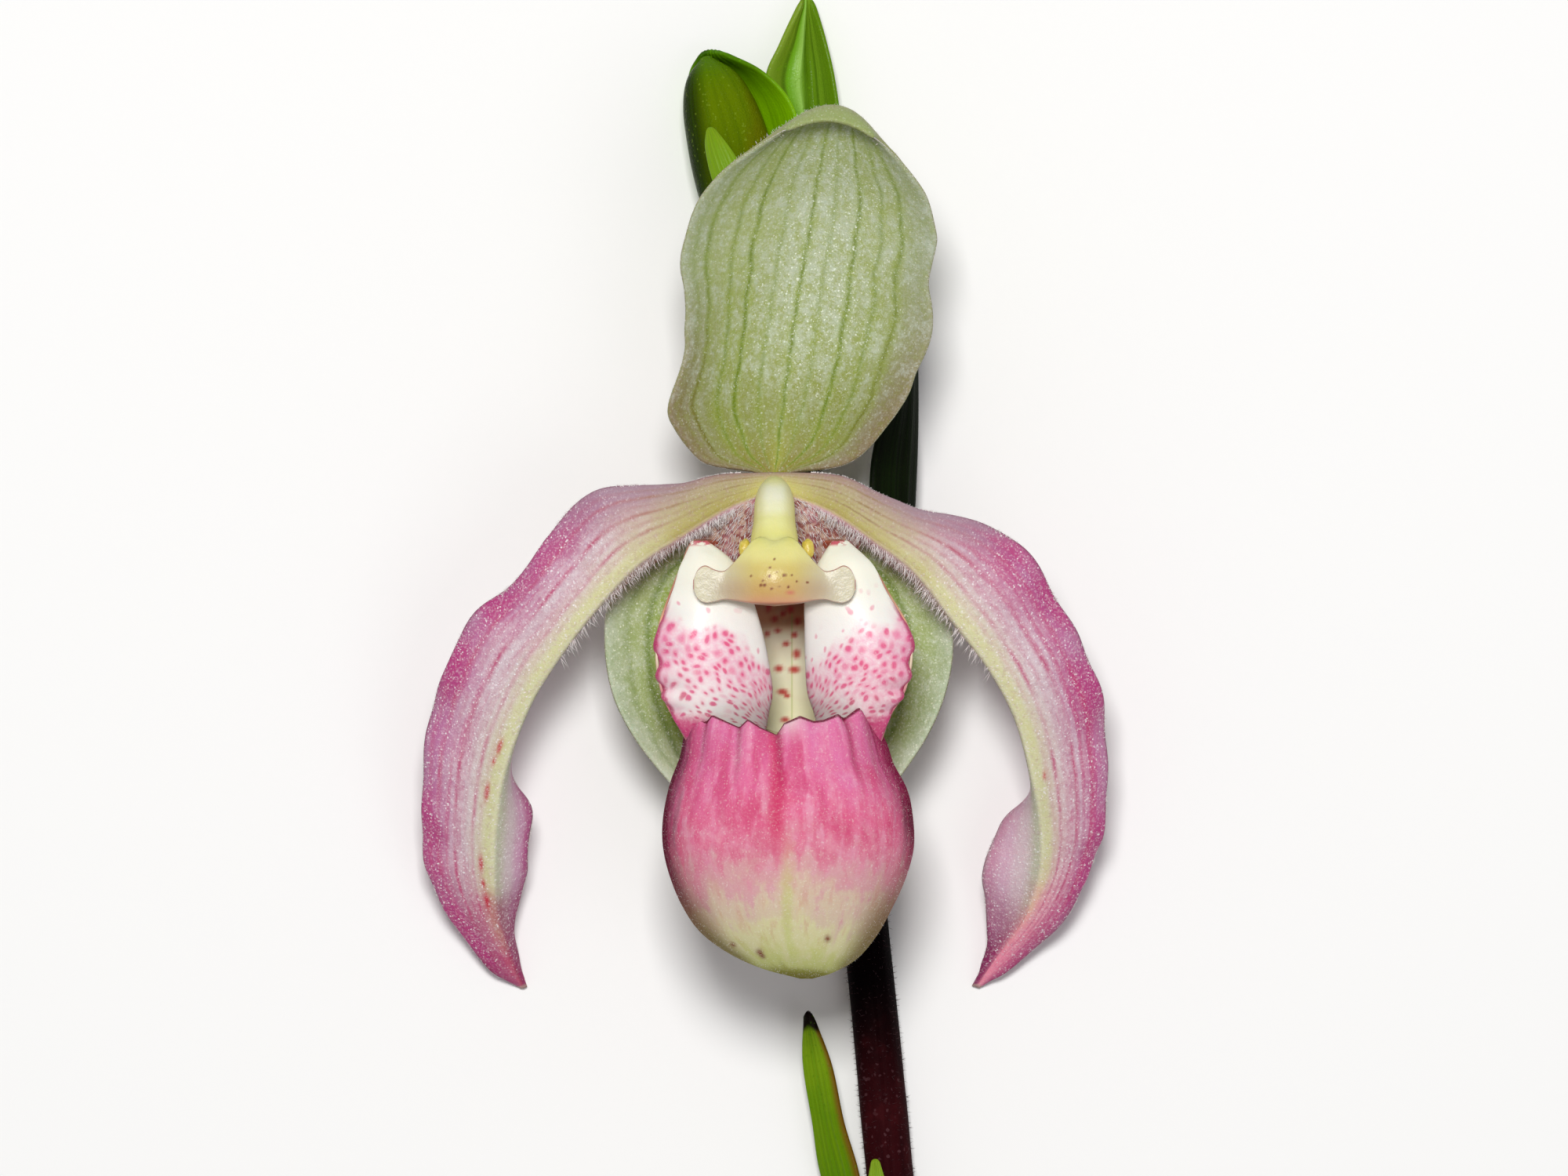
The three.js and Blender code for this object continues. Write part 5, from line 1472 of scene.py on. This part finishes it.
def make_cup():
    angles, marks = cup_angles()
    rows = np.linspace(0, 1, CUP_ROWS + 1)[:, None]
    angle, along = np.broadcast_arrays(angles, rows)
    pleats = np.where(angles <= np.pi, np.interp(angles, marks, PLEATS), 0)
    relief = PLEAT_DEPTH * pleats * np.clip(1 - rows / PLEAT_REACH, 0, 1) ** 1.5
    uneven = CUP_UNEVENNESS * soft_noise(np.cos(angle) * 3, along * 5, 2.5, 12) * np.sin(np.pi * rows)
    outer = cup_surface(angle, along, 0.0, relief + uneven)
    wall = CUP_WALL * np.clip(0.35 + 12 * rows, 0, 1)
    inner = cup_surface(angle, along * TOE_INSET, wall, relief)
    rim = (inner[:1] + outer[:1]) / 2 + (0, CUP_RIM_RISE, 0)
    rings = np.concatenate([inner[::-1], rim, outer])
    points = np.concatenate([rings.reshape(-1, 3), [inner[-1].mean(0), outer[-1].mean(0)]])
    down = np.concatenate([rows[::-1], [[0.0]], rows])
    uv = np.stack(np.broadcast_arrays(angles / (2 * np.pi), down), axis=-1)
    uv = np.concatenate([uv.reshape(-1, 2), [[0.25, 1.0], [0.25, 1.0]]])
    back = np.zeros(len(points))
    back[:inner.size // 3] = 1
    back[-2] = 1
    turn = 2 * np.pi * uv[:, 0]
    deep = [centre for centre, pleat in zip(marks, PLEATS) if pleat < -0.5]
    notches = sum(np.exp(-(((turn - centre) / NOTCH_LINE_WIDTH) ** 2)) for centre in deep)
    fade = np.clip(1 - uv[:, 1] / NOTCH_LINE_REACH, 0, 1)
    lines = np.clip(notches, 0, 1) * fade * NOTCH_LINE_STRENGTH
    scars = blots(points, POUCH_SCARS, 1) * (points[:, 2] > SCARS_ABOVE)
    make_piece("pouch", points, ring_faces(len(rings), len(angles)), uv, cup_material(), ["lip"],
               {"back": back, "pleat": lines * (1 - back), "marks": scars,
                "ring_x": np.cos(turn), "ring_y": np.sin(turn)})


def make_column():
    neck, neck_faces, neck_uv = tube_parts(through(COLUMN, np.linspace(0, 1, NECK_ROWS)), NECK_SIDES)
    shield, faces, uv, _ = sheet_parts(shield_surface, SHIELD_GRID, shield_thickness, SHIELD_EDGE_SHARE)
    points = np.concatenate([neck, shield])
    faces = neck_faces + (faces + len(neck)).tolist()
    u, v = uv.T
    wing = np.abs(2 * u - 1)
    # A reddish line round the shield, faint below, and none where it meets the neck.
    side_line = np.clip((wing - 0.965) / 0.02, 0, 1)
    top_line = np.clip((v - 0.955) / 0.03, 0, 1) * np.clip((wing - 0.32) / 0.2, 0, 1)
    low_line = np.clip((0.03 - v) / 0.02, 0, 1) * 0.4
    edge = np.clip(side_line + top_line + low_line, 0, 1) * 0.7
    marks = blots(points, SHIELD_DOTS) * (points[:, 2] > SHIELD_Z)
    edge = np.concatenate([np.zeros(len(neck)), edge])
    make_piece("column_fine", points, faces, np.concatenate([neck_uv, uv]), column_material(),
               ["column"], {"edge": edge, "marks": marks})


def make_anthers():
    material = anther_material()
    t = np.linspace(0, 1, ANTHER_ROWS)
    radii = ANTHER_RADIUS * np.sqrt(np.clip(np.sin(np.pi * t), 0.02, 1)) * 0.92
    for seed, (name, middle) in enumerate(ANTHERS.items()):
        lean = np.stack([0.1 * np.sin(3 * t + seed), -np.cos(np.pi * t) * ANTHER_RADIUS * ANTHER_LENGTH,
                         0.08 * np.cos(4 * t)], axis=1)

        def lumps(angle, along, seed=seed):
            around = np.cos(angle) * 2
            return ANTHER_UNEVENNESS * soft_noise(around, along * 4 + np.sin(angle), 3, 40 + seed)

        line = np.column_stack([np.array(middle) + lean, radii])
        points, faces, uv = tube_parts(line, ANTHER_SIDES, lumps)
        make_piece(name + "_fine", points, faces, uv, material, [name])


def make_bracts():
    fresh = [(0, 104, 158, 2), (0.6, 126, 180, 4), (1, 52, 90, 0)]
    pale = [(0, 94, 134, 10), (0.5, 120, 158, 26), (1, 128, 158, 30)]
    # Floral bract 1 lies in the bloom's shadow: its near-black tones are painted shade.
    in_shade = [(0, 30, 56, 2), (0.2, 6, 14, 0), (0.6, 5, 12, 0), (1, 20, 42, 2)]
    lower = [(0, 64, 104, 2), (0.5, 94, 130, 4), (1, 120, 152, 18)]
    # Where the black tip and the brown edge start and are full, with their tones. The black tip is
    # painted shade, where the pouch shades it.
    ends = {"tip": (0.92, 0.955, 18, 8, 4), "edge": (0.82, 1, 110, 62, 12)}
    # Each row ends with the leaf's inner tone, its gloss and the marks that only some have.
    leaves = [
        ("floral_bract_1", FLORAL_BRACT_1, in_shade, (10, 24, 0), 0.5, {}),
        ("floral_bract_2", FLORAL_BRACT_2, fresh, (112, 172, 4), 0.3, {}),
        ("floral_bract_3", FLORAL_BRACT_3, pale, (104, 150, 14), 0.24, {"bands": FOLD_BANDS}),
        ("small_bract", SMALL_BRACT, pale, (110, 156, 14), 0.3, {}),
        ("stem_bract_lower", STEM_BRACT_LOWER, lower, (76, 122, 2), 0.28, ends),
        ("stem_bract_small", STEM_BRACT_SMALL, pale, (116, 152, 50), 0.3, {}),
    ]
    for seed, (name, rows, stops, inner, gloss, marks) in enumerate(leaves):
        def relief(u, v, seed=seed, folded="bands" in marks):
            ribs = BRACT_RIB_HEIGHT * np.sin(u * 2 * np.pi * BRACT_RIBS) * np.sin(np.pi * u)
            bend = BRACT_UNEVENNESS * soft_noise(u * 2, v * 4, 4, 20 + seed) * np.sin(np.pi * u)
            if folded:
                # Its left part is folded up into a ridge, with a furrow along its right foot.
                fade = np.clip((1 - v) * 3, 0, 1)
                bend += FOLD_HEIGHT * fade * np.exp(-(((u - 0.36) / 0.14) ** 2))
                bend -= FOLD_FURROW_DEPTH * fade * np.exp(-(((u - 0.62) / 0.07) ** 2))
            return ribs + bend

        crease = HOOD_BRACT_CREASE if rows is FLORAL_BRACT_2 else BRACT_CREASE
        make_sheet(name + "_fine", blade(rows, crease), BRACT_GRID, BRACT_THICKNESS,
                   leaf_material(name, stops, inner, gloss, **marks), [name], relief)


def make_buds():
    def seams(angle, along):
        # Three shut sepals meet in shallow seams.
        ridge = np.abs(np.sin(1.5 * angle + 0.5))
        fade = np.sin(np.pi * np.clip(along * 1.2 - 0.25, 0, 1))
        return -SEAM_DEPTH * np.exp(-((ridge / 0.1) ** 2)) * fade

    material = bud_material()
    for name, stations, sides, rows in (("bud_2", BUD_2, 96, 130), ("bud_3", BUD_3, 40, 60)):
        line = through(stations, np.linspace(0, 1, rows))
        line[:, 3] = np.maximum(line[:, 3], 0.05)
        points, faces, uv = tube_parts(line, sides, seams)
        make_piece(name + "_fine", points, faces, uv, material, [name])


def stem_line():
    line = through(STEM, np.linspace(0, 1, STEM_ROWS))
    x, y, radius = line.T
    return np.stack([x, y, FLOOR + radius, radius], axis=1)


def stem_relief(angle, y):
    nearest = np.min([np.abs(y - node) for node in STEM_NODES_Y], axis=0)
    ring = NODE_SWELLING * np.exp(-((nearest / NODE_LENGTH) ** 2)) * np.clip(np.cos(angle) + 0.6, 0, 1)
    furrows = STEM_FURROW_DEPTH * np.sin(STEM_FURROWS * angle + 0.05 * y)
    return ring + furrows + STEM_UNEVENNESS * soft_noise(np.cos(angle), y * 0.3, 3, 31)


def make_stem():
    line = stem_line()

    def relief(angle, along):
        return stem_relief(angle, np.broadcast_to(line[:, 1:2], angle.shape))

    points, faces, uv = tube_parts(line, STEM_SIDES, relief)
    points[:, 2] = np.maximum(points[:, 2], FLOOR)
    make_piece("stem_fine", points, faces, uv, stem_material(), ["stem"])
    make_cut(points[:STEM_SIDES], points[-2])


def make_cut(ring, middle):
    """The stem's cut face: rings from its skin to its middle, slightly raised and uneven."""
    shares = np.linspace(1.0, 0.0, CUT_RINGS + 1)[:-1]
    points = np.concatenate([middle + (ring - middle) * share for share in shares] + [middle[None]])
    points = points + (0.05, -CUT_RISE, 0)
    points[:, 1] -= CUT_UNEVENNESS * soft_noise(points[:, 0], points[:, 2], 2, 3)
    points[:STEM_SIDES] = ring
    uv = [(k / STEM_SIDES, share) for share in shares for k in range(STEM_SIDES)] + [(0.5, 0)]
    faces = []
    for j in range(CUT_RINGS):
        for k in range(STEM_SIDES):
            a, b = j * STEM_SIDES + k, j * STEM_SIDES + (k + 1) % STEM_SIDES
            if j < CUT_RINGS - 1:
                faces.append((a, a + STEM_SIDES, b + STEM_SIDES, b))
            else:
                faces.append((a, len(points) - 1, b))
    make_piece("stem_cut", points, faces, uv, cut_material())


def ovary_relief(angle, along):
    return RIB_HEIGHT * np.cos(OVARY_RIBS * angle) * np.sin(np.pi * along)


def make_ovary():
    line = through(OVARY, np.linspace(0, 1, OVARY_ROWS))
    points, faces, uv = tube_parts(line, OVARY_SIDES, ovary_relief)
    make_piece("ovary_fine", points, faces, uv, ovary_material(), ["ovary"])


# ---- Hairs ----


def at_spots(surface, u, v):
    """Points of a surface, with its upward normals and its directions across and along."""
    step = 2e-3
    point = surface(u, v)
    across = surface(np.clip(u + step, 0, 1), v) - surface(np.clip(u - step, 0, 1), v)
    along = surface(u, np.clip(v + step, 0, 1)) - surface(u, np.clip(v - step, 0, 1))
    normal = unit(np.cross(across, along))
    return point, normal * np.sign(normal[:, 2:] + 1e-9), unit(across), unit(along)


def make_hairs(name, roots, directions, lengths, width, material, slot, seed):
    """Slim bent three-sided cones, two steps long."""
    draw = np.random.default_rng(seed)
    count = len(roots)
    directions = unit(directions)
    side = unit(np.cross(directions, unit(draw.normal(size=(count, 3)))))
    other = np.cross(directions, side)
    bend = side * (lengths * draw.uniform(-0.25, 0.25, count))[:, None]
    middle = roots + directions * (lengths * 0.55)[:, None] + bend * 0.4
    tip = roots + directions * lengths[:, None] + bend
    corners = []
    for centre, share in ((roots, 1.0), (middle, 0.7)):
        for k in range(3):
            angle = 2 * math.pi * k / 3
            corners.append(centre + width * share * (side * math.cos(angle) + other * math.sin(angle)))
    points = np.stack([*corners, tip], axis=1).reshape(-1, 3)
    first = np.arange(count)[:, None] * 7  # a hair has seven points
    neighbours = ((0, 1), (1, 2), (2, 0))
    quads = np.concatenate([first + [k, n, n + 3, k + 3] for k, n in neighbours])
    ends = np.concatenate([first + [k + 3, n + 3, 6] for k, n in neighbours])
    heights = np.tile([0, 0, 0, 0.55, 0.55, 0.55, 1.0], count)
    uv = np.stack([np.full(len(points), 0.5), heights], axis=1)
    make_piece(name, points, quads.tolist() + ends.tolist(), uv, material)


def round_hairs(name, draw, line, direction, angle, relief, spread, material, slot, seed):
    """Short hairs all round a stalk. line has the stalk's x, y, z and radius at each hair."""
    across = unit(np.cross([0, 0, 1.0], direction) + (1e-6, 0, 0))
    up = np.cross(direction, across)
    out = across * np.sin(angle)[:, None] + up * np.cos(angle)[:, None]
    roots = line[:, :3] + out * (line[:, 3] + relief - HAIR_ROOT)[:, None]
    lengths = draw.uniform(*STALK_HAIR_LENGTHS, len(line))
    aims = out + draw.normal(0, spread, out.shape)
    make_hairs(name, roots, aims, lengths, FINE_HAIR, material, slot, seed)


def stem_hairs(material):
    draw = np.random.default_rng(3)
    line = stem_line()
    count = 4000
    at = draw.integers(4, STEM_ROWS - 4, count)
    angle = draw.uniform(-2.1, 2.1, count)
    direction = unit(np.gradient(line[:, :3], axis=0))[at]
    relief = stem_relief(angle, line[at, 1])
    round_hairs("stem_hairs", draw, line[at], direction, angle, relief, 0.35, material, "stem", 4)


def ovary_hairs(material):
    draw = np.random.default_rng(13)
    count = 3500
    t = draw.uniform(0.03, 0.97, count)
    ahead = through(OVARY, np.clip(t + 0.01, 0, 1)) - through(OVARY, np.clip(t - 0.01, 0, 1))
    angle = draw.uniform(0, 2 * np.pi, count)
    relief = ovary_relief(angle, t)
    round_hairs("ovary_hairs", draw, through(OVARY, t), unit(ahead[:, :3]), angle, relief, 0.3,
                material, "ovary", 14)


def petal_hairs(name, rows, side, material):
    """Long hairs along the fold near the base, and short ones further on, on the margins and below."""
    draw = np.random.default_rng(21 + side)
    surface = petal_surface(rows, side)
    grown = []

    def grow(count, across, along, reach, out, spread, level=False):
        u = draw.uniform(*across, count)
        v = along[0] + (along[1] - along[0]) * draw.uniform(0, 1, count) ** 1.4
        point, normal, inward, forward = at_spots(surface, u, v)
        if level:  # stand out sideways, whatever the fold does below
            inward = unit(np.cross(forward, (0, 0, side)))
        aim = out[0] * normal + out[1] * inward + out[2] * forward
        grown.append((point + out[0] * normal * PETAL_THICKNESS * 0.4,
                      aim + draw.normal(0, spread, (count, 3)), draw.uniform(*reach, count)))

    def finish(ending, width, seed):
        parts = [np.concatenate(column) for column in zip(*grown)]
        make_hairs(name + ending, *parts, width, material, "petal", seed)
        grown.clear()

    grow(260, (0.51, 0.6), (0.06, 0.42), (1.0, 2.2), (0.1, 0.9, 0.5), 0.3, level=True)
    grow(240, (0.58, 0.76), (0.08, 0.4), (0.8, 1.8), (0.2, 0.9, 0.4), 0.3, level=True)
    finish("_fringe", FRINGE_HAIR, 30 + side)
    grow(1000, (0.48, 0.53), (0.3, 0.8), (0.3, 0.6), (0.1, 1.0, 0.4), 0.3)
    grow(1300, (0.0, 0.02), (0.05, 0.95), PETAL_MARGIN_LENGTHS, (0.2, -1.0, 0.3), 0.35)
    grow(1000, (0.98, 1.0), (0.3, 0.95), PETAL_MARGIN_LENGTHS, (0.2, 1.0, 0.3), 0.35)
    grow(2000, (0.08, 0.46), (0.03, 0.7), BACK_HAIR_LENGTHS, (-1.0, 0.0, 0.4), 0.35)
    finish("_hairs", PETAL_HAIR, 40 + side)


def sepal_hairs(name, surface, material, seed):
    """Short hairs on both margins and on the back."""
    draw = np.random.default_rng(seed)
    count = 2600
    u = np.where(draw.uniform(size=count) < 0.5, draw.uniform(0, 0.012, count),
                 draw.uniform(0.988, 1, count))
    v = draw.uniform(0.05, 0.97, count)
    point, _, across, forward = at_spots(surface, u, v)
    outward = across * np.where(u < 0.5, -1.0, 1.0)[:, None]
    count_back = 3000
    u, v = draw.uniform(0.02, 0.98, count_back), draw.uniform(0.03, 0.9, count_back)
    back_point, back_normal, _, back_forward = at_spots(surface, u, v)
    roots = np.concatenate([point, back_point - back_normal * SEPAL_THICKNESS * 0.4])
    aims = np.concatenate([outward + 0.3 * forward, -back_normal + 0.3 * back_forward])
    lengths = np.concatenate([draw.uniform(*MARGIN_HAIR_LENGTHS, count),
                              draw.uniform(*BACK_HAIR_LENGTHS, count_back)])
    aims = aims + draw.normal(0, 0.3, aims.shape)
    make_hairs(name + "_hairs", roots, aims, lengths, FINE_HAIR, material, "sepal", seed + 1)


def throat_hairs(material):
    """Long pale hairs on the claw, on both sides of the column."""
    draw = np.random.default_rng(51)
    count = 1700
    u = draw.uniform(0.03, 0.97, count)
    v = draw.uniform(0.12, 0.98, count)
    point, normal, _, _ = at_spots(claw_surface(), u, v)
    outward = np.sign(point[:, :1]) * (0.4, 0, 0)
    aims = 0.5 * normal + outward + (0, -0.8, 0.35) + draw.normal(0, 0.2, (count, 3))
    lengths = draw.uniform(*THROAT_HAIR_LENGTHS, count)
    make_hairs("throat_hairs", point, aims, lengths, THROAT_HAIR, material, "lip", 52)


def pouch_hairs(material):
    draw = np.random.default_rng(61)
    count = 4500
    angle = draw.uniform(0, 2 * np.pi, count)
    along = draw.uniform(0.05, 0.95, count)
    keep = draw.uniform(size=count) < 0.4
    angle, along = angle[keep], along[keep]
    point = cup_surface(angle, along, 0.0)
    step = 1e-2
    across = cup_surface(angle + step, along, 0.0) - cup_surface(angle - step, along, 0.0)
    forward = cup_surface(angle, along + step, 0.0) - cup_surface(angle, along - step, 0.0)
    normal = unit(np.cross(across, forward))
    middle = point.mean(axis=0)
    normal = normal * np.sign(np.sum((point - middle) * normal, axis=1, keepdims=True))
    aims = normal + draw.normal(0, 0.3, (len(point), 3))
    lengths = draw.uniform(*POUCH_HAIR_LENGTHS, len(point))
    make_hairs("pouch_hairs", point - normal * 0.05, aims, lengths, POUCH_HAIR, material, "lip", 62)


# ---- The whole flower ----

make_camera()
make_stage()

make_stem()
make_ovary()
make_dorsal()
make_synsepal()
petal_skin = petal_material()
make_petal("petal_left", PETAL_LEFT, -1, petal_skin)
make_petal("petal_right", PETAL_RIGHT, 1, petal_skin)
make_claw()
make_trough()
make_lobes()
make_cup()
make_column()
make_anthers()
make_bracts()
make_buds()

pale_hair = hair_material("pale_hair", (214, 184, 190), (250, 244, 244))
dark_hair = hair_material("dark_hair", (40, 14, 20), (90, 66, 70))
stem_hairs(dark_hair)
ovary_hairs(dark_hair)
petal_hairs("petal_left", PETAL_LEFT, -1, pale_hair)
petal_hairs("petal_right", PETAL_RIGHT, 1, pale_hair)
sepal_hairs("dorsal_sepal", dorsal_surface(), pale_hair, 71)
sepal_hairs("synsepal", synsepal_surface(), pale_hair, 73)
throat_hairs(pale_hair)
pouch_hairs(pale_hair)
